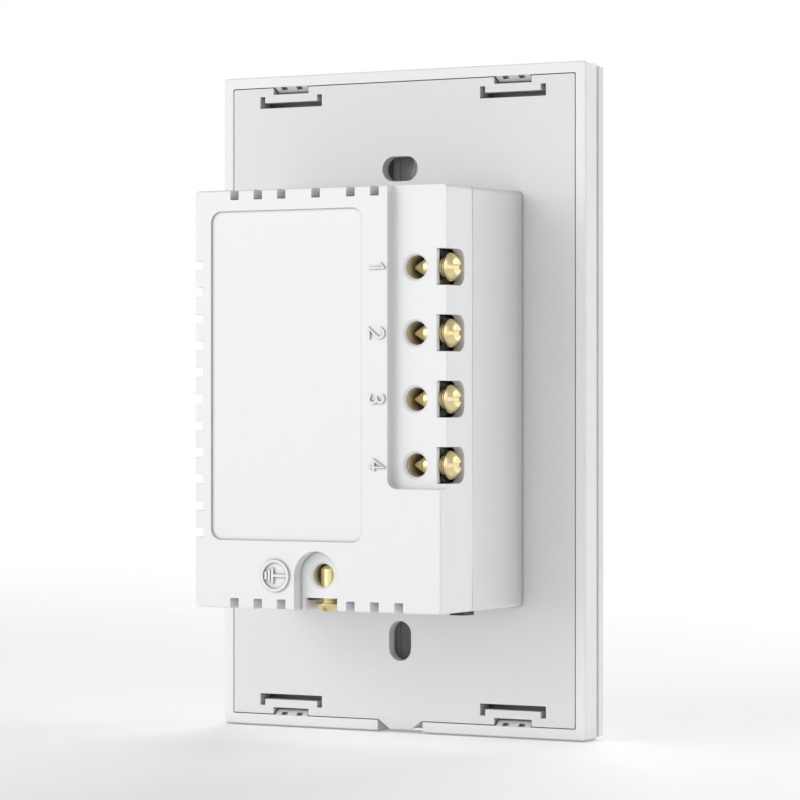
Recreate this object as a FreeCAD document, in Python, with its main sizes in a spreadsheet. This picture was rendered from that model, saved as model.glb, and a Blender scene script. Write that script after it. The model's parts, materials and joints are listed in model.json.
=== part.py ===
import FreeCAD, Part
import math
import os
from types import SimpleNamespace

import Sketcher

# Smart wall light switch with two keys, seen in the photograph from behind.
# Millimetres. The origin is the centre of the base plate's back, which lies on the wall:
# +Z is up, +Y runs into the wall box and +X is to the right of a person facing the keys.

document = FreeCAD.newDocument("smart_light_switch")
Vector = FreeCAD.Vector

# Driving dimensions

DIMENSIONS = {
    # Front frame, the ring that snaps over the base plate
    "frame_wide": 74.0,
    "frame_tall": 120.0,
    "frame_deep": 4.75,
    "frame_rim": 2.0,
    "frame_corner": 0.5,
    "frame_edge": 0.3,
    "frame_gap": 0.15,
    "flange_gap": 0.2,
    "flange_thick": 1.1,
    "flange_side": 3.5,
    "flange_top": 8.5,
    "flange_bottom": 5.5,
    "ear_thick": 1.6,
    "ear_wall": 0.4,
    "ear_half": 1.6,
    "ear_to_skirt": 0.95,
    # Base plate with the tub behind it
    "plate_thick": 2.2,
    "plate_corner": 0.3,
    "tab_root": 8.8,
    "tab_tip": 4.4,
    "tab_long": 1.6,
    "tab_corner": 0.5,
    "housing_wide": 49.2,
    "housing_tall": 73.75,
    "housing_lift": 0.325,
    "housing_deep": 31.4,
    "housing_draft": 0.45,
    "housing_corner": 0.8,
    "housing_wall": 1.6,
    "parting_chamfer": 0.2,
    "ledge": 1.0,
    "post_side": 4.2,
    "slot_long": 7.2,
    "slot_wide": 4.5,
    "slot_high_z": 42.1,
    "slot_low_z": 43.5,
    # Snap latches that hold the frame
    "latch_x": 22.7,
    "latch_wide": 13.0,
    "latch_slit": 1.0,
    "latch_bar_in": 3.7,
    "latch_leg_in": 1.55,
    "catch_wide": 6.8,
    "catch_gap": 0.3,
    "catch_high": 1.05,
    "catch_sunk": 1.4,
    "catch_rim_sunk": 0.1,
    "catch_slot": 1.2,
    "catch_slot_x": 1.6,
    # Pry notch in the frame
    "pry_gap": 0.2,
    # Rear cover
    "cover_deep": 11.8,
    "cover_back": 1.8,
    "cover_edge": 0.4,
    "lip_thick": 0.8,
    "lip_long": 1.5,
    "lip_root": 1.2,
    "lip_gap": 0.1,
    "cover_post": 3.0,
    "label_side": 3.3,
    "label_above": 3.7,
    "label_beside": 4.98,
    "label_below": 1.7,
    "label_deep": 0.4,
    "label_corner": 2.0,
    "sign_x": 8.0,
    "sign_in": 6.15,
    "sign_radius": 2.8,
    "sign_ring": 0.5,
    "sign_line": 0.45,
    "sign_high": 0.4,
    "sign_bar": 2.7,
    "sign_step": 0.65,
    "recess_wide": 10.56,
    "recess_below": 4.06,
    "recess_deep": 2.1,
    "recess_corner": 1.75,
    "recess_foot": 0.5,
    "recess_floor": 1.0,
    "vent_wide": 1.65,
    "vent_past_wall": 0.15,
    "vent_long": 8.0,
    "vent_pitch": 4.7,
    "vent_first": 6.85,
    # Terminals
    "terminal_in": 6.2,
    "terminal_pitch": 11.3,
    "terminal_middle_z": 5.95,
    "entry_radius": 2.05,
    "entry_bevel": 0.4,
    "window_deep": 2.13,
    "window_side": 0.68,
    "window_gap": 0.9,
    "window_corner": 2.0,
    "pillar_wide": 7.6,
    "pillar_tall": 6.0,
    "pillar_under": 3.2,
    "pillar_gap": 0.1,
    "pillar_bevel": 0.25,
    "pillar_to_window": 0.15,
    "pillar_leg": 1.2,
    "bore_radius": 2.05,
    "bore_end": 1.6,
    "screw_in": 5.3,
    "screw_out": 0.45,
    "screw_head_radius": 2.45,
    "screw_head_thick": 1.5,
    "screw_head_rim": 0.3,
    "screw_top_radius": 1.45,
    "screw_radius": 1.65,
    "screw_gap": 0.05,
    "screw_tip_gap": 0.4,
    "screw_tip_radius": 0.3,
    "screw_tip_long": 2.3,
    "screw_slot": 0.8,
    "earth_in": 6.25,
    "earth_arch": 4.25,
    "earth_deep": 2.4,
    "earth_window_side": 0.85,
    "earth_screw_out": 0.35,
    "earth_tip_radius": 1.0,
    "earth_tip_long": 0.6,
    # Black wedge across the joint in the housing's lower wall
    "hook_wide": 2.7,
    "hook_side": 1.3,
    "hook_before_joint": 3.3,
    "hook_past_joint": 0.6,
    "hook_high": 0.76,
    "hook_low": 0.7,
    # Lid over the tub's front
    "lid_thick": 1.4,
    "lid_ledge": 1.2,
    "lid_gap": 0.15,
    "lid_corner": 1.0,
    "lid_screw_head_radius": 1.9,
    "lid_screw_head": 1.2,
    "lid_screw_radius": 0.95,
    "lid_screw_long": 7.0,
    # Boards and what they carry
    "board_gap": 0.25,
    "lid_to_board": 2.0,
    "control_thick": 1.2,
    "board_to_joint": 4.6,
    "power_thick": 1.6,
    "switch_x": 12.0,
    "switch_z": 18.0,
    "switch_side": 6.0,
    "switch_out": 0.1,
    "switch_hole_gap": 0.3,
    "plunger_radius": 1.7,
    "plunger_gap": 0.1,
    "plunger_out": 1.0,
    "plunger_in": 0.8,
    "plunger_travel": 0.5,
    "guide_in": 4.35,
    "guide_to_post": 1.05,
    "guide_radius": 1.1,
    "guide_flange": 1.7,
    "guide_flange_thick": 0.5,
    "guide_out": 1.0,
    "guide_gap": 0.1,
    "led_long": 2.0,
    "led_wide": 1.25,
    "led_tall": 0.7,
    "module_wide": 16.0,
    "module_long": 24.0,
    "module_thick": 0.8,
    "module_in": 5.25,
    "shield_wide": 14.0,
    "shield_long": 16.0,
    "shield_tall": 2.2,
    "header_wide": 21.0,
    "header_thick": 2.6,
    "header_tall": 3.6,
    "header_in": 5.15,
    "bridge_side": 6.5,
    "bridge_tall": 2.2,
    "relay_wide": 10.2,
    "relay_long": 18.2,
    "relay_tall": 12.5,
    "relay_x": 5.9,
    "relay_gap": 2.0,
    "relay_middle_z": 6.0,
    "part_bevel": 0.4,
    "core_wide": 14.0,
    "core_long": 13.0,
    "core_tall": 12.0,
    "core_leg": 3.2,
    "core_z": 6.0,
    "part_gap": 0.8,
    "winding_over": 1.5,
    "winding_gap": 0.1,
    "bulk_radius": 4.0,
    "bulk_tall": 12.5,
    "filter_long": 17.5,
    "filter_thick": 6.0,
    "filter_tall": 11.5,
    "filter_to_post": 0.35,
    "choke_radius": 4.6,
    "choke_tall": 9.5,
    "varistor_radius": 4.0,
    "varistor_thick": 3.0,
    "varistor_x": 16.0,
    "fuse_radius": 1.7,
    "fuse_long": 9.5,
    "fuse_x": 6.0,
    "fuse_z": 21.0,
    # Keys
    "key_gap": 1.1,
    "key_thick": 2.25,
    "key_inset": 0.2,
    "key_split": 0.5,
    "key_corner": 0.5,
    "key_edge": 0.3,
    "skirt_inset": 2.4,
    "skirt_wall": 1.2,
    "skirt_deep": 1.15,
    "hinge_down": 8.0,
    "hinge_out": 1.1,
    "hinge_near_x": 8.0,
    "hinge_pin_radius": 0.5,
    "hinge_gap": 0.05,
    "hinge_side_gap": 0.15,
    "lug_wide": 3.0,
    "lug_half": 1.5,
    "lug_gap": 0.2,
    "root_sink": 0.4,
    "rib_side": 4.0,
    "rib_gap": 0.1,
    "lens_radius": 1.25,
    "lens_gap": 0.05,
    "lens_thick": 2.0,
}


class Size:
    """A length that knows its value and the formula of sheet cells that gives it."""

    def __init__(self, formula, value):
        self.formula = formula
        self.value = value

    def __neg__(self):
        return Size(f"(-{self.formula})", -self.value)

    def __add__(self, other):
        other = as_size(other)
        return Size(f"({self.formula} + {other.formula})", self.value + other.value)

    def __sub__(self, other):
        other = as_size(other)
        return Size(f"({self.formula} - {other.formula})", self.value - other.value)

    def __mul__(self, other):
        other = as_size(other)
        return Size(f"({self.formula} * {other.formula})", self.value * other.value)

    def __truediv__(self, other):
        other = as_size(other)
        return Size(f"({self.formula} / {other.formula})", self.value / other.value)

    __radd__ = __add__
    __rmul__ = __mul__


def as_size(number):
    """A plain number as a Size."""
    if isinstance(number, Size):
        return number
    return Size(str(number), float(number))


def slope(angle):
    """The rise per millimetre of a face that leans by an angle in degrees."""
    return Size(f"tan({angle.formula} * 1 deg)", math.tan(math.radians(angle.value)))


def make_sheet():
    """Writes the driving dimensions into the sheet and returns them as sizes."""
    sheet = document.addObject("Spreadsheet::Sheet", "sizes")
    row = 0
    for alias, millimetres in DIMENSIONS.items():
        row += 1
        sheet.set(f"A{row}", alias)
        sheet.set(f"B{row}", str(millimetres))
        sheet.setAlias(f"B{row}", alias)
    document.recompute()
    return SimpleNamespace(**{alias: Size(f"sizes.{alias}", sheet.get(alias)) for alias in DIMENSIONS})


mm = make_sheet()
ZERO = as_size(0)
BEYOND = as_size(2)  # how far a cut runs past the face that it opens
SLIGHT = as_size(0.1)  # the same where other material is close
LEAST_CUT = 1e-4  # cubic millimetres that a cut has to take away
CUTS = ("PartDesign::Pocket", "PartDesign::SubtractiveBox", "PartDesign::SubtractiveCylinder")

# Places that several pieces share; those named _y or _z may be the distance from the origin

plate_half_wide = mm.frame_wide / 2 - mm.frame_rim - mm.frame_gap
plate_half_tall = mm.frame_tall / 2 - mm.frame_rim - mm.frame_gap
opening_half_wide = mm.frame_wide / 2 - mm.frame_rim
opening_half_tall = mm.frame_tall / 2 - mm.frame_rim
tub_deep = mm.housing_deep - mm.cover_deep
draft = slope(mm.housing_draft)
housing_half_wide = mm.housing_wide / 2
housing_half_tall = mm.housing_tall / 2
back_half_wide = housing_half_wide - draft * mm.housing_deep
back_half_tall = housing_half_tall - draft * mm.housing_deep
cavity_half_wide = back_half_wide - mm.housing_wall
cavity_half_tall = back_half_tall - mm.housing_wall
cavity_low_z = mm.housing_lift - cavity_half_tall
cavity_high_z = mm.housing_lift + cavity_half_tall
plate_front = -mm.plate_thick
lid_back = plate_front + mm.lid_thick
lid_half_wide = cavity_half_wide + mm.lid_ledge
lid_half_tall = cavity_half_tall + mm.lid_ledge
control_front = lid_back + mm.lid_to_board
control_back = control_front + mm.control_thick
power_back = tub_deep - mm.board_to_joint
power_front = power_back - mm.power_thick
cover_inside = mm.housing_deep - mm.cover_back
housing_low_z = mm.housing_lift - housing_half_tall
housing_high_z = mm.housing_lift + housing_half_tall
recess_y = mm.housing_deep - mm.recess_deep
recess_under = recess_y - mm.recess_floor
earth_floor_y = mm.housing_deep - mm.earth_deep
earth_under = earth_floor_y - mm.recess_floor
below_recesses = recess_under - mm.earth_deep
flange_back = plate_front - mm.flange_gap
flange_front = flange_back - mm.flange_thick
key_under = -mm.frame_deep - mm.key_gap
key_front = key_under - mm.key_thick
skirt_inside_x = mm.frame_wide / 2 - mm.key_inset - mm.skirt_inset - mm.skirt_wall
hinge_z = mm.frame_tall / 2 - mm.hinge_down
hinge_y = flange_front - mm.hinge_out
hinge_far_x = skirt_inside_x - mm.ear_to_skirt - mm.ear_thick - mm.hinge_side_gap - mm.lug_wide / 2
guide_x = cavity_half_wide - mm.guide_in
guide_z = cavity_low_z + mm.post_side + mm.guide_flange + mm.guide_to_post
switch_front = plate_front - mm.switch_out
plunger_tip = switch_front - mm.plunger_out
screw_hole_radius = mm.screw_radius + mm.screw_gap
screw_y = mm.housing_deep - mm.screw_in
window_x = housing_half_wide - mm.window_deep
window_low_y = screw_y - mm.screw_head_radius - mm.window_gap
pillar_low_y = screw_y - screw_hole_radius - mm.pillar_under
pillar_high_y = recess_under - mm.pillar_gap
earth_pillar_high_y = earth_under - mm.pillar_gap
screw_head_x = housing_half_wide - draft * screw_y + mm.screw_out
TERMINALS = {"output_2": 1.5, "output_1": 0.5, "line": -0.5, "neutral": -1.5}
terminal_x = housing_half_wide - mm.terminal_in
terminal_z = {name: mm.terminal_middle_z + mm.terminal_pitch * step for name, step in TERMINALS.items()}
tip_past_bore_middle = mm.bore_radius - mm.screw_tip_gap
earth_z = housing_low_z + mm.earth_in
earth_head_z = housing_low_z + draft * screw_y - mm.earth_screw_out
recess_x = housing_half_wide - mm.recess_wide
recess_low_z = terminal_z["neutral"] - mm.recess_below
hook_low_y = tub_deep - mm.hook_before_joint
hook_high_y = tub_deep + mm.hook_past_joint
parts_right_x = cavity_half_wide - mm.lip_gap - mm.lip_thick - mm.part_gap


# Drawing helpers

def bind(thing, prop, size):
    """Ties a property to the sheet."""
    thing.setExpression(prop, as_size(size).formula)


def box_points(low_x, high_x, low_z, high_z):
    """The corners of a rectangle in a sketch of X across and Z up."""
    return [(low_x, low_z), (high_x, low_z), (high_x, high_z), (low_x, high_z)]


def add_polygon(sketch, points):
    """Adds a closed outline whose corners are tied to the sheet."""
    points = [(as_size(across), as_size(up)) for across, up in points]
    count = len(points)
    places = [Vector(across.value, up.value, 0) for across, up in points]
    lines = [sketch.addGeometry(Part.LineSegment(places[i], places[(i + 1) % count]), False)
             for i in range(count)]
    for i in range(count):
        sketch.addConstraint(Sketcher.Constraint("Coincident", lines[i], 2, lines[(i + 1) % count], 1))
        place_point(sketch, lines[i], 1, points[i])


def add_circle(sketch, centre, radius):
    """Adds a circle tied to the sheet."""
    centre = (as_size(centre[0]), as_size(centre[1]))
    place = Vector(centre[0].value, centre[1].value, 0)
    circle = sketch.addGeometry(Part.Circle(place, Vector(0, 0, 1), radius.value), False)
    place_point(sketch, circle, 3, centre)
    bind_constraint(sketch, Sketcher.Constraint("Radius", circle, radius.value), radius)


def add_slot(sketch, first, second, radius):
    """Adds a round-ended slot from one end's centre to the other, left to right or low to high."""
    ends = [(as_size(across), as_size(up)) for across, up in (first, second)]
    places = [Vector(across.value, up.value, 0) for across, up in ends]
    upright = abs(places[1].x - places[0].x) < abs(places[1].y - places[0].y)
    turn = math.pi / 2 if upright else 0.0
    side = Vector(-math.sin(turn), math.cos(turn), 0) * radius.value
    normal = Vector(0, 0, 1)
    quarter = math.pi / 2
    first_circle = Part.Circle(places[0], normal, radius.value)
    second_circle = Part.Circle(places[1], normal, radius.value)
    first_arc = Part.ArcOfCircle(first_circle, turn + quarter, turn + 3 * quarter)
    second_arc = Part.ArcOfCircle(second_circle, turn - quarter, turn + quarter)
    first_end = sketch.addGeometry(first_arc, False)
    second_end = sketch.addGeometry(second_arc, False)
    below = sketch.addGeometry(Part.LineSegment(places[0] - side, places[1] - side), False)
    above = sketch.addGeometry(Part.LineSegment(places[1] + side, places[0] + side), False)
    for one, other in ((first_end, below), (below, second_end), (second_end, above), (above, first_end)):
        sketch.addConstraint(Sketcher.Constraint("Tangent", one, 2, other, 1))
    sketch.addConstraint(Sketcher.Constraint("Equal", first_end, second_end))
    place_point(sketch, first_end, 3, ends[0])
    place_point(sketch, second_end, 3, ends[1])
    bind_constraint(sketch, Sketcher.Constraint("Radius", first_end, radius.value), radius)


def place_point(sketch, line, point, place):
    """Holds a point of a sketch line at a place given by two sizes."""
    across, up = place
    bind_constraint(sketch, Sketcher.Constraint("DistanceX", -1, 1, line, point, across.value), across)
    bind_constraint(sketch, Sketcher.Constraint("DistanceY", -1, 1, line, point, up.value), up)


def bind_constraint(sketch, constraint, size):
    """Adds a constraint whose value comes from the sheet."""
    index = sketch.addConstraint(constraint)
    sketch.setExpression(f"Constraints[{index}]", size.formula)


def new_body(label):
    """Starts a sub-part."""
    body = document.addObject("PartDesign::Body", label)
    body.Label = label
    return body


def new_sketch(body, label, role="XZ_Plane", offset=ZERO):
    """A sketch on one of the body's own origin planes, moved along that plane's normal."""
    plane = next(feature for feature in body.Origin.OriginFeatures if feature.Role == role)
    sketch = body.newObject("Sketcher::SketchObject", f"{body.Label}_{label}_sketch")
    sketch.AttachmentSupport = [(plane, "")]
    sketch.MapMode = "FlatFace"
    bind(sketch, "AttachmentOffset.Base.z", offset)
    return sketch


def sketch_at(body, label, y, polygons=(), circles=(), slots=()):
    """An upright sketch, X across and Z up, at one depth Y."""
    sketch = new_sketch(body, label, offset=-as_size(y))
    for points in polygons:
        add_polygon(sketch, points)
    for centre, radius in circles:
        add_circle(sketch, centre, radius)
    for first, second, radius in slots:
        add_slot(sketch, first, second, radius)
    return sketch


def pad(body, label, low_y, high_y, draft_angle=None, **outlines):
    """Material between two depths, narrowing towards the back if a draft angle is given."""
    low_y = as_size(low_y)
    feature = body.newObject("PartDesign::Pad", f"{body.Label}_{label}")
    feature.Profile = sketch_at(body, label, low_y, **outlines)
    feature.Reversed = True
    bind(feature, "Length", as_size(high_y) - low_y)
    if draft_angle is not None:
        bind(feature, "TaperAngle", -draft_angle)
    return feature


def pocket(body, label, low_y, high_y, **outlines):
    """A cut between two depths."""
    low_y = as_size(low_y)
    feature = body.newObject("PartDesign::Pocket", f"{body.Label}_{label}")
    feature.Profile = sketch_at(body, label, low_y, **outlines)
    bind(feature, "Length", as_size(high_y) - low_y)
    return feature


def body_box(body, label, x, y, z, cut=False):
    """A block between pairs of X, Y and Z, added to the body or cut from it."""
    kind = "PartDesign::SubtractiveBox" if cut else "PartDesign::AdditiveBox"
    feature = body.newObject(kind, f"{body.Label}_{label}")
    for side, axis, (low, high) in (("Length", "x", x), ("Width", "y", y), ("Height", "z", z)):
        bind(feature, side, as_size(high) - as_size(low))
        bind(feature, f"Placement.Base.{axis}", low)
    return feature


def body_rod(body, label, axis, centre, radius, low, high, cut=False):
    """A cylinder along one axis, added to the body or cut from it; centre leaves that axis out."""
    kind = "PartDesign::SubtractiveCylinder" if cut else "PartDesign::AdditiveCylinder"
    feature = body.newObject(kind, f"{body.Label}_{label}")
    bind(feature, "Radius", radius)
    bind(feature, "Height", as_size(high) - as_size(low))
    turns = {"x": Vector(0, 1, 0), "y": Vector(-1, 0, 0), "z": Vector(0, 0, 1)}
    angle = 0 if axis == "z" else 90
    feature.Placement = FreeCAD.Placement(Vector(), FreeCAD.Rotation(turns[axis], angle))
    places = dict(zip([name for name in "xyz" if name != axis], centre))
    places[axis] = low
    for name, place in places.items():
        bind(feature, f"Placement.Base.{name}", place)
    return feature


def edges_where(shape, test):
    """The names of the edges whose middle and direction pass a test."""
    names = []
    for number, edge in enumerate(shape.Edges, 1):
        middle = edge.BoundBox.Center
        start, end = edge.Vertexes[0].Point, edge.Vertexes[-1].Point
        way = end.sub(start)
        if way.Length > 0:
            way.normalize()
        if test(edge, middle, way):
            names.append(f"Edge{number}")
    return names


def dress(body, kind, label, size, test):
    """A fillet or chamfer on the edges of the body's tip that pass a test."""
    document.recompute()
    tip = body.Tip
    names = edges_where(tip.Shape, test)
    if not names:
        raise RuntimeError(f"{body.Label}: no edge for {label}")
    feature = body.newObject(f"PartDesign::{kind}", f"{body.Label}_{label}")
    feature.Base = (tip, names)
    bind(feature, "Radius" if kind == "Fillet" else "Size", size)
    return feature


def near(value, size):
    """Whether a coordinate is at a size, to a hundredth of a millimetre."""
    return abs(value - as_size(size).value) < 0.01


def along(way, axis):
    """Whether an edge runs along an axis, to within a draft angle."""
    return abs(way.dot(Vector(*axis))) > 0.999


AXIS_X, AXIS_Y, AXIS_Z = (1, 0, 0), (0, 1, 0), (0, 0, 1)
SIDES = (-1, 1)
CORNERS = [(across, up) for across in SIDES for up in SIDES]


# Base plate and tub

def latch_slit(side, up):
    """The outline of the slit that frees one latch's tongue."""
    middle = mm.latch_x * side
    outer = mm.latch_wide / 2
    inner = outer - mm.latch_slit
    bar_low = plate_half_tall - mm.latch_bar_in
    bar_high = bar_low + mm.latch_slit
    leg_end = plate_half_tall - mm.latch_leg_in
    shape = [(-outer, leg_end), (-outer, bar_low), (outer, bar_low), (outer, leg_end),
             (inner, leg_end), (inner, bar_high), (-inner, bar_high), (-inner, leg_end)]
    return [(middle + across, height * up) for across, height in shape]


def latch_notch(side, up):
    """The outline of the notch in the plate's edge that one catch of the frame sits in."""
    middle = mm.latch_x * side
    half = mm.catch_wide / 2 + mm.catch_gap
    low = (opening_half_tall - mm.catch_high - mm.catch_gap) * up
    high = (plate_half_tall + BEYOND) * up
    return [(middle - half, low), (middle + half, low), (middle + half, high), (middle - half, high)]


def hook_x():
    """The X range of the black wedge in the housing's lower wall."""
    outer = -(back_half_wide - mm.hook_side)
    return (outer, outer + mm.hook_wide)


def latch_window(side, up):
    """The outline of the window in the frame's flange under one latch's tongue."""
    middle = mm.latch_x * side
    half = mm.latch_wide / 2
    low = (plate_half_tall - mm.latch_bar_in) * up
    high = (opening_half_tall - mm.catch_high) * up
    return [(middle - half, low), (middle + half, low), (middle + half, high), (middle - half, high)]


def lid_screw_places():
    """The centres of the four lid screws, one in each corner post."""
    inset = mm.post_side / 2
    return [((cavity_half_wide - inset) * across, mm.housing_lift + (cavity_half_tall - inset) * up)
            for across, up in CORNERS]


def centred(half_wide, half_tall, z=ZERO):
    """The corners of a rectangle about the middle of the plate, or about a height z."""
    return box_points(-half_wide, half_wide, z - half_tall, z + half_tall)


def make_base_plate():
    """Plate that the wall screws hold, with the tub of the housing behind it."""
    body = new_body("base_plate")
    pad(body, "plate", plate_front, ZERO, polygons=[centred(plate_half_wide, plate_half_tall)])
    dress(body, "Fillet", "corners", mm.plate_corner, lambda edge, middle, way: along(way, AXIS_Y))
    tab_foot = -plate_half_tall
    tab_end = tab_foot - mm.tab_long
    tab = [(-mm.tab_root / 2, tab_foot), (-mm.tab_tip / 2, tab_end), (mm.tab_tip / 2, tab_end),
           (mm.tab_root / 2, tab_foot), (mm.tab_root / 2, tab_foot + BEYOND),
           (-mm.tab_root / 2, tab_foot + BEYOND)]
    pad(body, "pry_tab", plate_front, ZERO, polygons=[tab])
    dress(body, "Fillet", "tab_corners", mm.tab_corner, lambda edge, middle, way: near(middle.z, tab_end)
          and along(way, AXIS_Y))
    lift = mm.housing_lift
    tub = centred(housing_half_wide, housing_half_tall, lift)
    pad(body, "tub", ZERO, tub_deep, mm.housing_draft, polygons=[tub])
    dress(body, "Fillet", "tub_corners", mm.housing_corner,
          lambda edge, middle, way: along(way, AXIS_Y) and middle.y > 1)
    dress(body, "Chamfer", "parting_edge", mm.parting_chamfer,
          lambda edge, middle, way: near(middle.y, tub_deep))
    lid_outline = centred(lid_half_wide + mm.lid_gap, lid_half_tall + mm.lid_gap, lift)
    pocket(body, "lid_seat", plate_front, lid_back, polygons=[lid_outline])
    cavity = centred(cavity_half_wide, cavity_half_tall, lift)
    pocket(body, "control_space", lid_back, control_back, polygons=[cavity])
    middle_space = centred(cavity_half_wide - mm.ledge, cavity_half_tall - mm.ledge, lift)
    pocket(body, "middle_space", control_back, power_front, polygons=[middle_space])
    pocket(body, "power_space", power_front, tub_deep, polygons=[cavity])
    for number, (across, up) in enumerate(CORNERS, 1):
        x = sorted_pair(cavity_half_wide * across, (cavity_half_wide - mm.post_side) * across)
        z = sorted_pair(lift + cavity_half_tall * up, lift + (cavity_half_tall - mm.post_side) * up)
        body_box(body, f"post_{number}", x, (lid_back, power_front), z)
    pilot = mm.lid_screw_radius + mm.screw_gap
    pilot_end = lid_back + mm.lid_screw_long
    pocket(body, "pilot_holes", lid_back, pilot_end, circles=[(place, pilot) for place in lid_screw_places()])
    reach = (mm.slot_long - mm.slot_wide) / 2
    high = mm.slot_high_z
    low = -mm.slot_low_z
    wall_slots = [((-reach, high), (reach, high), mm.slot_wide / 2),
                  ((ZERO, low - reach), (ZERO, low + reach), mm.slot_wide / 2)]
    pocket(body, "wall_screw_slots", plate_front, BEYOND, slots=wall_slots)
    pocket(body, "latch_slits", plate_front, BEYOND, polygons=[latch_slit(side, up) for side, up in CORNERS])
    notches = [latch_notch(side, up) for side, up in CORNERS]
    pocket(body, "latch_notches", plate_front, BEYOND, polygons=notches)
    body_box(body, "wedge_window", hook_x(), (hook_low_y, tub_deep + BEYOND),
             (housing_low_z - BEYOND, cavity_low_z), cut=True)
    return body


def sorted_pair(one, other):
    """Two sizes with the lower one first."""
    return (one, other) if one.value < other.value else (other, one)


# Rear cover

def vent_outlines():
    """The notches in the cover's top, bottom and +X walls, by wall."""
    half = mm.vent_wide / 2
    reach = mm.housing_wall + mm.vent_past_wall
    top = mm.housing_lift + back_half_tall
    bottom = mm.housing_lift - back_half_tall
    side = back_half_wide
    steps = [mm.vent_first + mm.vent_pitch * step for step in range(3)]
    top_middles = [ZERO] + steps + [-steps[0], -steps[1]]
    bottom_middles = steps + [-step for step in steps]
    side_middles = [mm.housing_lift + mm.vent_pitch * step for step in range(-5, 6)]
    return {
        "top_vents": [box_points(x - half, x + half, top - reach, top + BEYOND) for x in top_middles],
        "bottom_vents": [box_points(x - half, x + half, bottom - BEYOND, bottom + reach)
                         for x in bottom_middles],
        "side_vents": [box_points(side - reach, side + BEYOND, z - half, z + half) for z in side_middles],
    }


def hollow_cover(body):
    """Cuts the cover's inside, which is shallower under the two recesses."""
    pocket(body, "cavity", tub_deep, below_recesses,
           polygons=[centred(cavity_half_wide, cavity_half_tall, mm.housing_lift)])
    shelf_x = -(recess_x - mm.housing_wall)
    shelf_z = recess_low_z - mm.housing_wall
    arch_half = mm.earth_arch + mm.housing_wall
    arch_top = earth_z + arch_half
    left = -cavity_half_wide
    right = cavity_half_wide
    deep = [(shelf_x, cavity_high_z), (shelf_x, shelf_z), (left, shelf_z), (left, cavity_low_z),
            (-arch_half, cavity_low_z), (-arch_half, arch_top), (arch_half, arch_top),
            (arch_half, cavity_low_z), (right, cavity_low_z), (right, cavity_high_z)]
    pocket(body, "deep_cavity", below_recesses, cover_inside, polygons=[deep])
    pocket(body, "terminal_cavity", below_recesses, recess_under,
           polygons=[box_points(left, shelf_x, shelf_z, cavity_high_z)])
    pocket(body, "earth_cavity", below_recesses, earth_under,
           polygons=[box_points(-arch_half, arch_half, cavity_low_z, arch_top)])


def add_earth_sign(body):
    """Raised earth sign beside its recess, turned so that its stem points to -X."""
    sign_z = housing_low_z + mm.sign_in
    low_y = mm.housing_deep - mm.root_sink
    high_y = mm.housing_deep + mm.sign_high
    centre = (mm.sign_x, sign_z)
    ring = [(centre, mm.sign_radius), (centre, mm.sign_radius - mm.sign_ring)]
    pad(body, "sign_ring", low_y, high_y, circles=ring)
    line = mm.sign_line
    stem = box_points(mm.sign_x - mm.sign_radius + mm.sign_ring / 2, mm.sign_x + line, sign_z - line / 2,
                      sign_z + line / 2)
    bars = []
    for step in range(3):
        low_x = mm.sign_x + line / 2 + mm.sign_step * step
        half = mm.sign_bar / 2 - mm.sign_step / 2 * step
        bars.append(box_points(low_x, low_x + line, sign_z - half, sign_z + half))
    pad(body, "sign_stem", low_y, high_y, polygons=[stem])
    pad(body, "sign_bars", low_y, high_y, polygons=bars)


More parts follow.
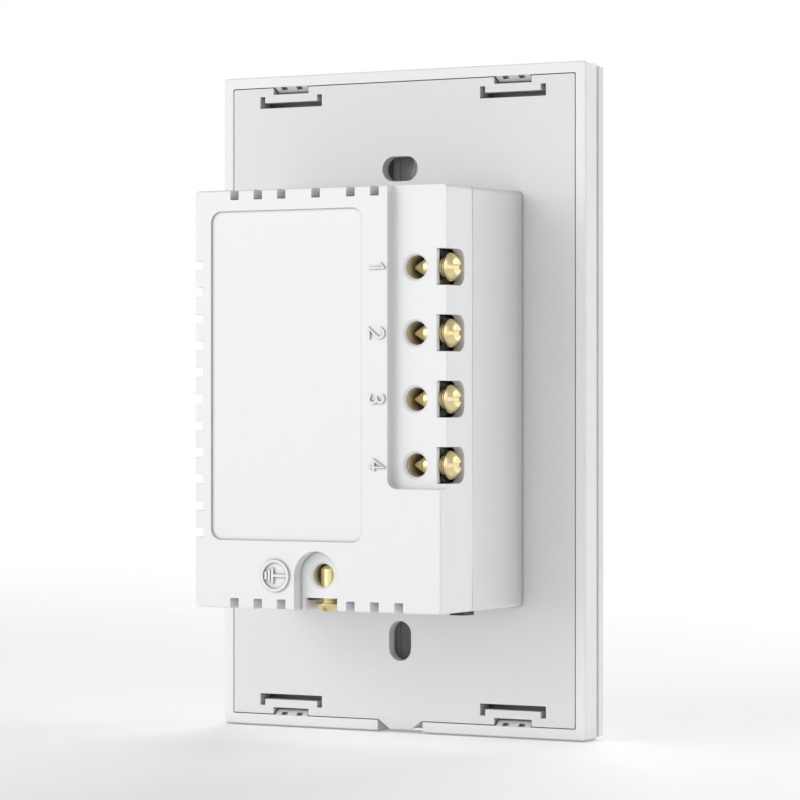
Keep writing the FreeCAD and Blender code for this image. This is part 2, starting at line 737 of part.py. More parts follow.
def make_rear_cover():
    """Cup that closes the housing, with the recessed terminals, the label's place and the vents."""
    body = new_body("rear_cover")
    lift = mm.housing_lift
    joint_half_wide = housing_half_wide - draft * tub_deep
    joint_half_tall = housing_half_tall - draft * tub_deep
    outline = centred(joint_half_wide, joint_half_tall, lift)
    pad(body, "shell", tub_deep, mm.housing_deep, mm.housing_draft, polygons=[outline])
    dress(body, "Fillet", "corners", mm.housing_corner, lambda edge, middle, way: along(way, AXIS_Y))
    dress(body, "Chamfer", "parting_edge", mm.parting_chamfer,
          lambda edge, middle, way: near(middle.y, tub_deep))
    dress(body, "Fillet", "back_edge", mm.cover_edge,
          lambda edge, middle, way: near(middle.y, mm.housing_deep))
    hollow_cover(body)
    lip_outer = cavity_half_wide - mm.lip_gap
    lip_outer_tall = cavity_half_tall - mm.lip_gap
    lip_inner = lip_outer - mm.lip_thick
    lip_inner_tall = lip_outer_tall - mm.lip_thick
    lip_start = tub_deep - mm.lip_long
    lip_ring = [centred(lip_outer, lip_outer_tall, lift), centred(lip_inner, lip_inner_tall, lift)]
    root_ring = [centred(cavity_half_wide + mm.lip_gap, cavity_half_tall + mm.lip_gap, lift),
                 centred(lip_inner, lip_inner_tall, lift)]
    pad(body, "lip_root", tub_deep, tub_deep + mm.lip_root, polygons=root_ring)
    pad(body, "lip", lip_start, tub_deep, polygons=lip_ring)
    for number, (across, up) in enumerate(CORNERS, 1):
        x = sorted_pair(cavity_half_wide * across, (cavity_half_wide - mm.cover_post) * across)
        z = sorted_pair(lift + cavity_half_tall * up, lift + (cavity_half_tall - mm.cover_post) * up)
        body_box(body, f"post_{number}", x, (tub_deep, cover_inside), z)
        inner_x = sorted_pair(lip_outer * across, (lip_outer - mm.cover_post) * across)
        inner_z = sorted_pair(lift + lip_outer_tall * up, lift + (lip_outer_tall - mm.cover_post) * up)
        body_box(body, f"post_foot_{number}", inner_x, (power_back, tub_deep), inner_z)
    label_ends = (mm.label_beside - recess_x, back_half_wide - mm.label_side)
    label_low_z = earth_z + mm.earth_arch + mm.label_below
    label = box_points(*label_ends, label_low_z, lift + back_half_tall - mm.label_above)
    label_y = mm.housing_deep - mm.label_deep
    pocket(body, "label_recess", label_y, mm.housing_deep, polygons=[label])
    dress(body, "Fillet", "label_corners", mm.label_corner,
          lambda edge, middle, way: along(way, AXIS_Y) and middle.y > label_y.value
          and any(near(middle.x, end) for end in label_ends))
    add_earth_sign(body)
    recess = box_points(-(housing_half_wide + BEYOND), -recess_x, recess_low_z, housing_high_z + BEYOND)
    pocket(body, "terminal_recess", recess_y, mm.housing_deep + BEYOND, polygons=[recess])
    dress(body, "Fillet", "recess_corner", mm.recess_corner,
          lambda edge, middle, way: along(way, AXIS_Y) and middle.y > recess_y.value
          and near(middle.x, -recess_x) and near(middle.z, recess_low_z))
    dress(body, "Fillet", "recess_foot", mm.recess_foot,
          lambda edge, middle, way: near(middle.y, recess_y) and near(middle.x, -recess_x)
          and along(way, AXIS_Z))
    arch_low = housing_low_z - BEYOND
    earth_slot = [((ZERO, arch_low), (ZERO, earth_z), mm.earth_arch)]
    pocket(body, "earth_recess", earth_floor_y, mm.housing_deep + BEYOND, slots=earth_slot)
    entries = [((-terminal_x, z), mm.entry_radius) for z in terminal_z.values()]
    pocket(body, "wire_entries", recess_under - BEYOND, recess_y, circles=entries)
    earth_entry = ((ZERO, earth_z), mm.entry_radius)
    pocket(body, "earth_entry", earth_under - BEYOND, earth_floor_y, circles=[earth_entry])
    dress(body, "Chamfer", "entry_bevels", mm.entry_bevel,
          lambda edge, middle, way: way.Length == 0
          and (near(middle.y, recess_y) or near(middle.y, earth_floor_y)))
    half_window = mm.screw_head_radius + mm.window_side
    window_high_y = recess_y + BEYOND
    for name, z in terminal_z.items():
        body_box(body, f"window_{name}", (-(housing_half_wide + BEYOND), -window_x),
                 (window_low_y, window_high_y), (z - half_window, z + half_window), cut=True)
    earth_window_half = mm.screw_head_radius + mm.earth_window_side
    pillar_low_z = earth_z - mm.pillar_wide / 2
    earth_window_top = pillar_low_z - mm.pillar_to_window
    body_box(body, "window_earth", (-earth_window_half, earth_window_half), (window_low_y, window_high_y),
             (arch_low, earth_window_top), cut=True)
    dress(body, "Fillet", "window_corners", mm.window_corner,
          lambda edge, middle, way: near(middle.y, window_low_y) and along(way, AXIS_X)
          and middle.x < -window_x.value)
    dress(body, "Fillet", "earth_window_corners", mm.window_corner,
          lambda edge, middle, way: near(middle.y, window_low_y) and along(way, AXIS_Z)
          and middle.z < earth_window_top.value)
    for label, outlines in vent_outlines().items():
        pocket(body, label, mm.housing_deep - mm.vent_long, mm.housing_deep + BEYOND, polygons=outlines)
    body_box(body, "wedge_window", hook_x(), (tub_deep - SLIGHT, hook_high_y),
             (housing_low_z - BEYOND, cavity_low_z), cut=True)
    return body


def make_cover_latch():
    """Black wedge that stands out of the lower wall and locks the cover to the tub."""
    body = new_body("cover_latch")
    low_x, high_x = hook_x()
    low_y, high_y = hook_low_y, hook_high_y
    surface_low = housing_low_z + draft * low_y
    surface_high = housing_low_z + draft * high_y
    sketch = new_sketch(body, "wedge", "YZ_Plane", low_x)
    add_polygon(sketch, [(low_y, cavity_low_z), (low_y, surface_low - mm.hook_high),
                         (high_y, surface_high - mm.hook_low), (high_y, cavity_low_z)])
    feature = body.newObject("PartDesign::Pad", "cover_latch_wedge")
    feature.Profile = sketch
    bind(feature, "Length", high_x - low_x)
    return body


# Terminals

def make_screw(label, origin, rotation, end, tip_radius, tip_long):
    """Slotted clamping screw: its head faces local -X and its shank runs to local +X."""
    body = new_body(label)
    sketch = new_sketch(body, "profile", "XZ_Plane")
    head = mm.screw_head_thick
    add_polygon(sketch, [(0, 0), (0, mm.screw_top_radius),
                         (head - mm.screw_head_rim, mm.screw_head_radius), (head, mm.screw_head_radius),
                         (head, mm.screw_radius), (end - tip_long, mm.screw_radius),
                         (end, tip_radius), (end, 0)])
    turned = body.newObject("PartDesign::Revolution", f"{label}_turned")
    turned.Profile = sketch
    turned.ReferenceAxis = (sketch, ["H_Axis"])
    turned.Angle = 360
    half = mm.screw_slot / 2
    side = mm.screw_head_radius + BEYOND
    body_box(body, "slot", (-BEYOND, mm.screw_slot), (-side, side), (-half, half), cut=True)
    body.Placement = FreeCAD.Placement(Vector(), rotation)
    for axis, place in zip("xyz", origin):
        bind(body, f"Placement.Base.{axis}", place)
    return body


def make_terminal(label, z):
    """Brass pillar with the wire's bore from behind and the screw's hole from the side."""
    body = new_body(label)
    half_wide = mm.pillar_wide / 2
    half_tall = mm.pillar_tall / 2
    middle_x = -terminal_x
    body_box(body, "block", (middle_x - half_wide, middle_x + half_wide), (pillar_low_y, pillar_high_y),
             (z - half_tall, z + half_tall))
    bevel_block(body, pillar_high_y)
    bore_low = pillar_low_y + mm.bore_end
    body_rod(body, "bore", "y", (middle_x, z), mm.bore_radius, bore_low, pillar_high_y + BEYOND, cut=True)
    hole_low = middle_x - half_wide - BEYOND
    body_rod(body, "screw_hole", "x", (screw_y, z), screw_hole_radius, hole_low, middle_x, cut=True)
    add_legs(body, middle_x, z)
    return body


def make_earth_terminal():
    """The earth wire's brass pillar, whose screw comes from below."""
    body = new_body("terminal_earth")
    half_wide = mm.pillar_tall / 2
    half_tall = mm.pillar_wide / 2
    middle_z = earth_z
    body_box(body, "block", (-half_wide, half_wide), (pillar_low_y, earth_pillar_high_y),
             (middle_z - half_tall, middle_z + half_tall))
    bevel_block(body, earth_pillar_high_y)
    bore_low = pillar_low_y + mm.bore_end
    bore_high = earth_pillar_high_y + BEYOND
    body_rod(body, "bore", "y", (ZERO, middle_z), mm.bore_radius, bore_low, bore_high, cut=True)
    hole_low = middle_z - half_tall - BEYOND
    body_rod(body, "screw_hole", "z", (ZERO, screw_y), screw_hole_radius, hole_low, middle_z, cut=True)
    add_legs(body, ZERO, middle_z)
    return body


def bevel_block(body, high_y):
    """Takes the sharp edge off a pillar's outer end."""
    dress(body, "Chamfer", "bevel", mm.pillar_bevel, lambda edge, middle, way: near(middle.y, high_y))


def add_legs(body, x, z):
    """Two solder legs from a pillar down to the power board."""
    half = mm.pillar_leg / 2
    for number, side in enumerate(SIDES, 1):
        middle = z + mm.pillar_leg * side
        body_box(body, f"leg_{number}", (x - half, x + half), (power_back, pillar_low_y),
                 (middle - half, middle + half))


# Lid and boards

def make_inner_cover():
    """Lid that screws over the tub's front and keeps fingers off the boards."""
    body = new_body("inner_cover")
    lift = mm.housing_lift
    pad(body, "plate", plate_front, lid_back, polygons=[centred(lid_half_wide, lid_half_tall, lift)])
    dress(body, "Fillet", "corners", mm.lid_corner, lambda edge, middle, way: along(way, AXIS_Y))
    half = mm.switch_side / 2 + mm.switch_hole_gap
    windows = [box_points(mm.switch_x * side - half, mm.switch_x * side + half,
                          -mm.switch_z - half, -mm.switch_z + half)
               for side in SIDES]
    pocket(body, "switch_windows", plate_front, lid_back, polygons=windows)
    hole = mm.lid_screw_radius + mm.lid_gap
    holes = [(place, hole) for place in lid_screw_places()]
    holes += [((guide_x * side, guide_z), mm.guide_radius + mm.guide_gap) for side in SIDES]
    pocket(body, "holes", plate_front, lid_back, circles=holes)
    return body


def make_lid_screws():
    """The four screws that hold the lid to the tub's corner posts, with cross slots."""
    solids = []
    head_front = plate_front - mm.lid_screw_head
    for number, (x, z) in enumerate(lid_screw_places(), 1):
        head_radius = mm.lid_screw_head_radius
        head = part_rod(f"lid_screw_head_{number}", "y", (x, z), head_radius, head_front, plate_front)
        shank = part_rod(f"lid_screw_shank_{number}", "y", (x, z), mm.lid_screw_radius, plate_front,
                         lid_back + mm.lid_screw_long - mm.screw_slot)
        half = mm.screw_slot / 2
        reach = mm.lid_screw_head_radius - half
        across = part_box(f"lid_screw_cross_{number}", (x - reach, x + reach),
                          (head_front - BEYOND, head_front + half), (z - half, z + half))
        down = part_box(f"lid_screw_down_{number}", (x - half, x + half),
                        (head_front - BEYOND, head_front + half), (z - reach, z + reach))
        solids.append(cut(f"lid_screw_{number}", fuse(f"lid_screw_blank_{number}", [head, shank]),
                          fuse(f"lid_screw_recess_{number}", [across, down])))
    return group("lid_screws", solids)


def part_box(name, x, y, z):
    """A block between pairs of X, Y and Z."""
    block = document.addObject("Part::Box", name)
    for side, axis, (low, high) in (("Length", "x", x), ("Width", "y", y), ("Height", "z", z)):
        bind(block, side, as_size(high) - as_size(low))
        bind(block, f"Placement.Base.{axis}", low)
    return block


def part_rod(name, axis, centre, radius, low, high):
    """A cylinder along one axis; centre leaves that axis out."""
    rod = document.addObject("Part::Cylinder", name)
    bind(rod, "Radius", radius)
    bind(rod, "Height", as_size(high) - as_size(low))
    turns = {"x": Vector(0, 1, 0), "y": Vector(-1, 0, 0), "z": Vector(0, 0, 1)}
    angle = 0 if axis == "z" else 90
    rod.Placement = FreeCAD.Placement(Vector(), FreeCAD.Rotation(turns[axis], angle))
    places = dict(zip([name for name in "xyz" if name != axis], centre))
    places[axis] = low
    for name, place in places.items():
        bind(rod, f"Placement.Base.{name}", place)
    return rod


def fuse(name, shapes):
    """Joins shapes into one."""
    joined = document.addObject("Part::MultiFuse", name)
    joined.Shapes = shapes
    return joined


def cut(name, base, tool):
    """Takes one shape out of another."""
    result = document.addObject("Part::Cut", name)
    result.Base = base
    result.Tool = tool
    return result


def group(name, shapes):
    """Puts identical solids into one sub-part."""
    result = document.addObject("Part::Compound", name)
    result.Links = shapes
    return result


def make_control_board():
    """Board behind the lid with the two switches, notched round the corner posts."""
    body = new_body("control_board")
    half_wide = cavity_half_wide - mm.board_gap
    half_tall = cavity_half_tall - mm.board_gap
    pad(body, "sheet", control_front, control_back, polygons=[centred(half_wide, half_tall, mm.housing_lift)])
    inner_x = cavity_half_wide - mm.post_side - mm.board_gap
    inner_z = cavity_half_tall - mm.post_side - mm.board_gap
    notches = []
    for across, up in CORNERS:
        x = sorted_pair(inner_x * across, (cavity_half_wide + BEYOND) * across)
        z = sorted_pair(mm.housing_lift + inner_z * up, mm.housing_lift + (cavity_half_tall + BEYOND) * up)
        notches.append(box_points(*x, *z))
    pocket(body, "corner_notches", control_front, control_back, polygons=notches)
    return body


def make_power_board():
    """Board with the relays, the supply and the terminals, held between posts and ledge."""
    body = new_body("power_board")
    half_wide = cavity_half_wide - mm.board_gap
    half_tall = cavity_half_tall - mm.board_gap
    pad(body, "sheet", power_front, power_back, polygons=[centred(half_wide, half_tall, mm.housing_lift)])
    return body


def make_tact_switch(label, side):
    """Tactile switch on the control board, with a hole for its plunger."""
    body = new_body(label)
    half = mm.switch_side / 2
    x = mm.switch_x * side
    z = -mm.switch_z
    body_box(body, "case", (x - half, x + half), (switch_front, control_front), (z - half, z + half))
    dress(body, "Chamfer", "edges", mm.part_bevel, lambda edge, middle, way: along(way, AXIS_Y))
    hole_end = switch_front + mm.plunger_in + 2 * mm.plunger_travel
    hole_radius = mm.plunger_radius + mm.plunger_gap
    body_rod(body, "hole", "y", (x, z), hole_radius, switch_front - BEYOND, hole_end, cut=True)
    return body


def make_plunger(label, side):
    """The tactile switch's moving button, which the key's rib presses."""
    inner = switch_front + mm.plunger_in
    return part_rod(label, "y", (mm.switch_x * side, -mm.switch_z), mm.plunger_radius, plunger_tip, inner)


def make_light_guides():
    """Clear rods that lead each lamp's light through the lid to the keys."""
    solids = []
    flange_end = lid_back + mm.guide_flange_thick
    for number, side in enumerate(SIDES, 1):
        centre = (guide_x * side, guide_z)
        rod_front = plate_front - mm.guide_out
        rod = part_rod(f"guide_rod_{number}", "y", centre, mm.guide_radius, rod_front, lid_back)
        flange = part_rod(f"guide_flange_{number}", "y", centre, mm.guide_flange, lid_back, flange_end)
        solids.append(fuse(f"guide_{number}", [rod, flange]))
    return group("light_guides", solids)


def make_lamps():
    """One small lamp on the control board under each light guide."""
    solids = []
    for number, side in enumerate(SIDES, 1):
        x = guide_x * side
        solids.append(part_box(f"lamp_{number}", (x - mm.led_long / 2, x + mm.led_long / 2),
                               (control_front - mm.led_tall, control_front),
                               (guide_z - mm.led_wide / 2, guide_z + mm.led_wide / 2)))
    return group("indicator_lamps", solids)


def make_block(label, x, y, z, bevel=True):
    """A plain boxed component, its edges along Y bevelled."""
    body = new_body(label)
    body_box(body, "case", x, y, z)
    if bevel:
        dress(body, "Chamfer", "edges", mm.part_bevel, lambda edge, middle, way: along(way, AXIS_Y))
    return body


def span(middle, length):
    """The range of a length about its middle."""
    return (middle - length / 2, middle + length / 2)


def make_board_parts():
    """Everything soldered to the two boards, apart from the terminals and the switches."""
    parts = []
    module_end = control_back + mm.module_thick
    module_high_z = cavity_high_z - mm.module_in
    module_z = (module_high_z - mm.module_long, module_high_z)
    module_x = span(ZERO, mm.module_wide)
    parts.append(make_block("wireless_module", module_x, (control_back, module_end), module_z, False))
    shield_z = (module_z[0], module_z[0] + mm.shield_long)
    shield_x = span(ZERO, mm.shield_wide)
    shield_y = (module_end, module_end + mm.shield_tall)
    parts.append(make_block("module_shield", shield_x, shield_y, shield_z))
    header_end = control_back + mm.header_tall
    header_low_z = cavity_low_z + mm.header_in
    header_z = (header_low_z, header_low_z + mm.header_thick)
    header_x = span(ZERO, mm.header_wide)
    parts.append(make_block("board_header", header_x, (control_back, header_end), header_z, False))
    parts.append(make_block("board_socket", header_x, (header_end, power_front), header_z, False))
    bridge_y = (power_front - mm.bridge_tall, power_front)
    core_x = parts_right_x - mm.core_wide / 2
    bridge_x = span(core_x, mm.bridge_side)
    parts.append(make_block("rectifier", bridge_x, bridge_y, span(mm.core_z, mm.bridge_side)))
    relay_step = mm.relay_long + mm.relay_gap
    for number, place in enumerate((0.5, -0.5), 1):
        relay_z = span(mm.relay_middle_z + relay_step * place, mm.relay_long)
        relay_y = (power_back, power_back + mm.relay_tall)
        parts.append(make_block(f"relay_{number}", span(-mm.relay_x, mm.relay_wide), relay_y, relay_z))
    parts += make_transformer(core_x)
    filter_y = (power_back, power_back + mm.filter_tall)
    filter_x = (parts_right_x - mm.filter_long, parts_right_x)
    filter_high_z = cavity_high_z - mm.lip_gap - mm.cover_post - mm.filter_to_post
    filter_low_z = filter_high_z - mm.filter_thick
    parts.append(make_block("filter_capacitor", filter_x, filter_y, (filter_low_z, filter_high_z)))
    choke_x = parts_right_x - mm.choke_radius
    parts.append(make_choke(choke_x, filter_low_z - mm.part_gap - mm.choke_radius))
    bulk_x = choke_x - mm.choke_radius - mm.part_gap - mm.bulk_radius
    bulk_z = filter_low_z - mm.part_gap - mm.bulk_radius
    parts.append(part_rod("storage_capacitor", "y", (bulk_x, bulk_z), mm.bulk_radius, power_back,
                          power_back + mm.bulk_tall))
    varistor_y = power_back + mm.varistor_radius
    varistor_z = cavity_low_z + mm.lip_gap + mm.lip_thick + mm.part_gap + mm.varistor_radius
    varistor_x = span(mm.varistor_x, mm.varistor_thick)
    parts.append(part_rod("varistor", "x", (varistor_y, varistor_z), mm.varistor_radius, *varistor_x))
    fuse_x = span(-mm.fuse_x, mm.fuse_long)
    parts.append(part_rod("fuse", "x", (power_back + mm.fuse_radius, -mm.fuse_z), mm.fuse_radius, *fuse_x))
    return parts


def make_choke(x, z):
    """Inductor: a bobbin with a waist where its wire is wound."""
    centre = (x, z)
    rim = mm.choke_tall / 5
    end = power_back + mm.choke_tall
    low = part_rod("choke_low_rim", "y", centre, mm.choke_radius, power_back, power_back + rim)
    waist = part_rod("choke_waist", "y", centre, mm.choke_radius - mm.part_bevel, power_back + rim, end - rim)
    high = part_rod("choke_high_rim", "y", centre, mm.choke_radius, end - rim, end)
    return fuse("choke", [low, waist, high])


def make_transformer(core_x):
    """Supply transformer: a ferrite core with two windows and the winding through them."""
    x = span(core_x, mm.core_wide)
    y = (power_back, power_back + mm.core_tall)
    z = span(-mm.core_z, mm.core_long)
    core = new_body("transformer_core")
    core_z = span(-mm.core_z, mm.core_long / 2)
    body_box(core, "block", x, y, core_z)
    leg = mm.core_leg
    inner_y = (y[0] + leg, y[1] - leg)
    middle_low = core_x - leg / 2
    middle_high = core_x + leg / 2
    side_wall = leg / 2
    through = (core_z[0] - BEYOND, core_z[1] + BEYOND)
    body_box(core, "window_left", (x[0] + side_wall, middle_low), inner_y, through, cut=True)
    body_box(core, "window_right", (middle_high, x[1] - side_wall), inner_y, through, cut=True)
    winding = new_body("transformer_winding")
    gap = mm.winding_gap
    wound_x = (x[0] + side_wall + gap, x[1] - side_wall - gap)
    wound_y = (inner_y[0] + gap, inner_y[1] - gap)
    body_box(winding, "coil", wound_x, wound_y, (z[0] - mm.winding_over, z[1] + mm.winding_over))
    body_box(winding, "core_hole", (middle_low - gap, middle_high + gap), (y[0], y[1]),
             (core_z[0] - gap, core_z[1] + gap), cut=True)
    return [core, winding]


# Front frame

def add_catches(body, root):
    """Four catches that slope down from the rim to their inner edge, each with two slots by the rim."""
    slot_half = mm.catch_slot / 2
    for number, (side, up) in enumerate(CORNERS, 1):
        middle = mm.latch_x * side
        inner = (opening_half_tall - mm.catch_high) * up
        rim = opening_half_tall * up
        sketch = new_sketch(body, f"catch_{number}", "YZ_Plane", middle - mm.catch_wide / 2)
        add_polygon(sketch, [(flange_front, inner), (-mm.catch_sunk, inner), (-mm.catch_rim_sunk, rim),
                             (-mm.catch_rim_sunk, root * up), (flange_front, root * up)])
        feature = body.newObject("PartDesign::Pad", f"front_frame_catch_{number}")
        feature.Profile = sketch
        bind(feature, "Length", mm.catch_wide)
        slot_z = sorted_pair((opening_half_tall - mm.catch_high / 2) * up, rim)
        for place in SIDES:
            slot_x = middle + mm.catch_slot_x * place
            body_box(body, f"catch_{number}_slot_{'low' if place < 0 else 'high'}",
                     (slot_x - slot_half, slot_x + slot_half), (-mm.catch_sunk, ZERO), slot_z, cut=True)


def make_front_frame():
    """Ring that covers the plate's edge and carries the keys' hinges."""
    body = new_body("front_frame")
    front = -mm.frame_deep
    pad(body, "ring", front, ZERO, polygons=[centred(mm.frame_wide / 2, mm.frame_tall / 2)])
    dress(body, "Fillet", "corners", mm.frame_corner, lambda edge, middle, way: along(way, AXIS_Y))
    dress(body, "Fillet", "edges", mm.frame_edge,
          lambda edge, middle, way: near(middle.y, 0) or near(middle.y, front))
    pocket(body, "opening", front, ZERO, polygons=[centred(opening_half_wide, opening_half_tall)])
    dress(body, "Fillet", "inner_corners", mm.plate_corner,
          lambda edge, middle, way: along(way, AXIS_Y) and near(abs(middle.x), opening_half_wide)
          and near(abs(middle.z), opening_half_tall))
    into_rim = mm.frame_rim / 2
    outer = centred(opening_half_wide + into_rim, opening_half_tall + into_rim)
    inner_half_wide = opening_half_wide - mm.flange_side
    inner = box_points(-inner_half_wide, inner_half_wide, -opening_half_tall + mm.flange_bottom,
                       opening_half_tall - mm.flange_top)
    pad(body, "flange", flange_front, flange_back, polygons=[outer, inner])
    windows = [latch_window(side, up) for side, up in CORNERS]
    pocket(body, "latch_windows", flange_front, flange_back, polygons=windows)
    ear_end = hinge_y - mm.hinge_pin_radius - mm.hinge_gap - mm.ear_wall
    for side in SIDES:
        for place, lug_x in (("near", mm.hinge_near_x), ("far", hinge_far_x)):
            low = lug_x + mm.lug_wide / 2 + mm.hinge_side_gap
            ear_x = sorted_pair(low * side, (low + mm.ear_thick) * side)
            label = f"ear_{place}_{'left' if side < 0 else 'right'}"
            ear_z = (hinge_z - mm.ear_half, hinge_z + mm.ear_half)
            body_box(body, label, ear_x, (ear_end, flange_front), ear_z)
            body_rod(body, f"{label}_hole", "x", (hinge_y, hinge_z), mm.hinge_pin_radius + mm.hinge_gap,
                     ear_x[0] - SLIGHT, ear_x[1] + SLIGHT, cut=True)
    add_catches(body, opening_half_tall + into_rim)
    pry_half = mm.tab_root / 2 + mm.pry_gap
    pry = box_points(-pry_half, pry_half, -mm.frame_tall / 2 - BEYOND, -opening_half_tall)
    pocket(body, "pry_notch", front, ZERO, polygons=[pry])
    return body


# Keys

def make_key(label, side):
    """Tall key hinged near its top on two pins, pressed at its lower end."""
    body = new_body(label)
    edge_x = (mm.frame_wide / 2 - mm.key_inset) * side
    split_x = mm.key_split / 2 * side
    half_tall = mm.frame_tall / 2 - mm.key_inset
    x = sorted_pair(split_x, edge_x)
    pad(body, "face", key_front, key_under, polygons=[box_points(*x, -half_tall, half_tall)])
    dress(body, "Fillet", "outer_corners", mm.key_corner,
          lambda edge, middle, way: along(way, AXIS_Y) and near(middle.x, edge_x))
    dress(body, "Fillet", "front_edge", mm.key_edge, lambda edge, middle, way: near(middle.y, key_front))
    inset = mm.skirt_inset
    wall = mm.skirt_wall
    outer = box_points(x[0] + inset, x[1] - inset, -half_tall + inset, half_tall - inset)
    inner = box_points(x[0] + inset + wall, x[1] - inset - wall,
                       -half_tall + inset + wall, half_tall - inset - wall)
    pad(body, "skirt", key_under - mm.root_sink, key_under + mm.skirt_deep, polygons=[outer, inner])
    for place, lug_x in (("near", mm.hinge_near_x), ("far", hinge_far_x)):
        middle = lug_x * side
        lug_end = flange_front - mm.lug_gap
        body_box(body, f"lug_{place}", span(middle, mm.lug_wide), (key_under - mm.root_sink, lug_end),
                 (hinge_z - mm.lug_half, hinge_z + mm.lug_half))
        pin_end = lug_x + mm.lug_wide / 2 + mm.hinge_side_gap + mm.ear_thick
        pin_x = sorted_pair(middle, pin_end * side)
        body_rod(body, f"pin_{place}", "x", (hinge_y, hinge_z), mm.hinge_pin_radius, *pin_x)
    rib_x = span(mm.switch_x * side, mm.rib_side)
    rib_y = (key_under - mm.root_sink, plunger_tip - mm.rib_gap)
    body_box(body, "press_rib", rib_x, rib_y, span(-mm.switch_z, mm.rib_side))
    body_rod(body, "lens_hole", "y", (guide_x * side, guide_z), mm.lens_radius + mm.lens_gap,
             key_front - BEYOND, key_under + BEYOND, cut=True)
    return body


def make_lens(label, side):
    """Clear window in a key over its light guide."""
    lens_end = key_front + mm.lens_thick
    return part_rod(label, "y", (guide_x * side, guide_z), mm.lens_radius, key_front, lens_end)


def make_screws():
    """The five clamping screws, heads outward."""
    side_long = screw_head_x - terminal_x + tip_past_bore_middle
    screws = [make_screw(f"screw_{name}", (-screw_head_x, screw_y, z), FreeCAD.Rotation(), side_long,
                         mm.screw_tip_radius, mm.screw_tip_long)
              for name, z in terminal_z.items()]
    upward = FreeCAD.Rotation(Vector(0, 1, 0), -90)
    earth_long = earth_z - earth_head_z + tip_past_bore_middle
    screws.append(make_screw("screw_earth", (ZERO, screw_y, earth_head_z), upward, earth_long,
                             mm.earth_tip_radius, mm.earth_tip_long))
    return screws


def make_all():
    """Builds every sub-part and returns them."""
    parts = [make_base_plate(), make_rear_cover(), make_cover_latch(), make_inner_cover(), make_lid_screws()]
    parts += [make_power_board(), make_control_board()]
    parts += [make_terminal(f"terminal_{name}", z) for name, z in terminal_z.items()]
    parts.append(make_earth_terminal())
    parts += make_screws()
    parts += make_board_parts()
    for name, side in (("left", -1), ("right", 1)):
        parts.append(make_tact_switch(f"tact_switch_{name}", side))
        parts.append(make_plunger(f"switch_plunger_{name}", side))
        parts.append(make_key(f"key_{name}", side))
        parts.append(make_lens(f"key_lens_{name}", side))
    parts += [make_light_guides(), make_lamps(), make_front_frame()]
    return parts


def check_document():
    """Stops on any object that failed, and on a cut that took nothing away."""
    volumes = {}

    def volume(thing):
        if thing.Name not in volumes:
            volumes[thing.Name] = thing.Shape.Volume
        return volumes[thing.Name]

    for thing in document.Objects:
        if "Invalid" in thing.State or "Error" in thing.State:
            raise RuntimeError(f"{thing.Label} failed: {thing.State}")
        if thing.TypeId in CUTS and volume(thing) > volume(thing.BaseFeature) - LEAST_CUT:
            raise RuntimeError(f"{thing.Label} cuts nothing")


def check_shape(part):
    """Stops on a sub-part with no sound solid."""
    shape = part.Shape
    if shape.isNull() or not shape.isValid() or not shape.Solids:
        raise RuntimeError(f"{part.Label} has no sound shape")


def main():
    """Builds, checks and writes every sub-part."""
    parts = make_all()
    document.recompute()
    check_document()
    for part in parts:
        check_shape(part)
    os.makedirs("parts", exist_ok=True)
    for part in parts:
        part.Shape.exportStep(f"parts/{part.Label}.step")
    print(len(parts), "sub-parts written")


main()
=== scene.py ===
"""Looks of a wall light switch with two tall push keys, seen from its wall side.

Metres, in the model's own frame: +Z up, +Y out of the back into the wall box, -Y towards the person at the keys.
"""
import json
import logging
import math
from dataclasses import dataclass
from enum import Enum
from typing import Callable

import bmesh
import bpy
from mathutils import Matrix, Vector


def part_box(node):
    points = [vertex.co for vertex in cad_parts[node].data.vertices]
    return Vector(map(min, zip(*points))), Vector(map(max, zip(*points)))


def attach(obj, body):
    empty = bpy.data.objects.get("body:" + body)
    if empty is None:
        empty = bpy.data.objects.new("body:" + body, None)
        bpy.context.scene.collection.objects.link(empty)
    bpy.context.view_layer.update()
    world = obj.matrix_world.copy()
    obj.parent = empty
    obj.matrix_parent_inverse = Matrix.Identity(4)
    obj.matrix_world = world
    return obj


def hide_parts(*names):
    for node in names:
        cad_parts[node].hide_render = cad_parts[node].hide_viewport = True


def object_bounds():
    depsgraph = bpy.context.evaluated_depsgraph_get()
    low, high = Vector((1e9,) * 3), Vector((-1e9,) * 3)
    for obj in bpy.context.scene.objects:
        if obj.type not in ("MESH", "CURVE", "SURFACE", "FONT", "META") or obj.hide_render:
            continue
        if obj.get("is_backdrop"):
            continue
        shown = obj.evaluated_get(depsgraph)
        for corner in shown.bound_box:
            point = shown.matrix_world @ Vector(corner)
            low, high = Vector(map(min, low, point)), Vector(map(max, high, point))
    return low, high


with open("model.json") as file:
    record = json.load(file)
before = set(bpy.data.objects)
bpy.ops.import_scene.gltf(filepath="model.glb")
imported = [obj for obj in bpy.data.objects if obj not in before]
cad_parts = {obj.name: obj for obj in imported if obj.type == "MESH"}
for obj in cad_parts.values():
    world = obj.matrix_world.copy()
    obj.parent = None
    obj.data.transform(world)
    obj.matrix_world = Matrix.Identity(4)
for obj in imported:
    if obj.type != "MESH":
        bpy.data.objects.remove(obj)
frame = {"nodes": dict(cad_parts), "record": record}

Colour = tuple[float, float, float]
Point = tuple[float, float]
Place = tuple[float, float, float]

log = logging.getLogger("light_switch")
MM = 0.001
SIGN_RELIEF = 0.4 * MM
SIDE_TERMINALS = ("output_2", "output_1", "line", "neutral")
EDGE_SAMPLES = {"samples": 6}


class Direction(Enum):
    """Where a clamping screw's head faces."""

    SIDE = (-1.0, 0.0, 0.0)
    DOWN = (0.0, 0.0, -1.0)


class Digit(Enum):
    """The plain numbers beside the wire entries, as strokes in a cell 0.6 wide and 1 high."""

    ONE = "1"
    TWO = "2"
    THREE = "3"
    FOUR = "4"


# Shader wiring


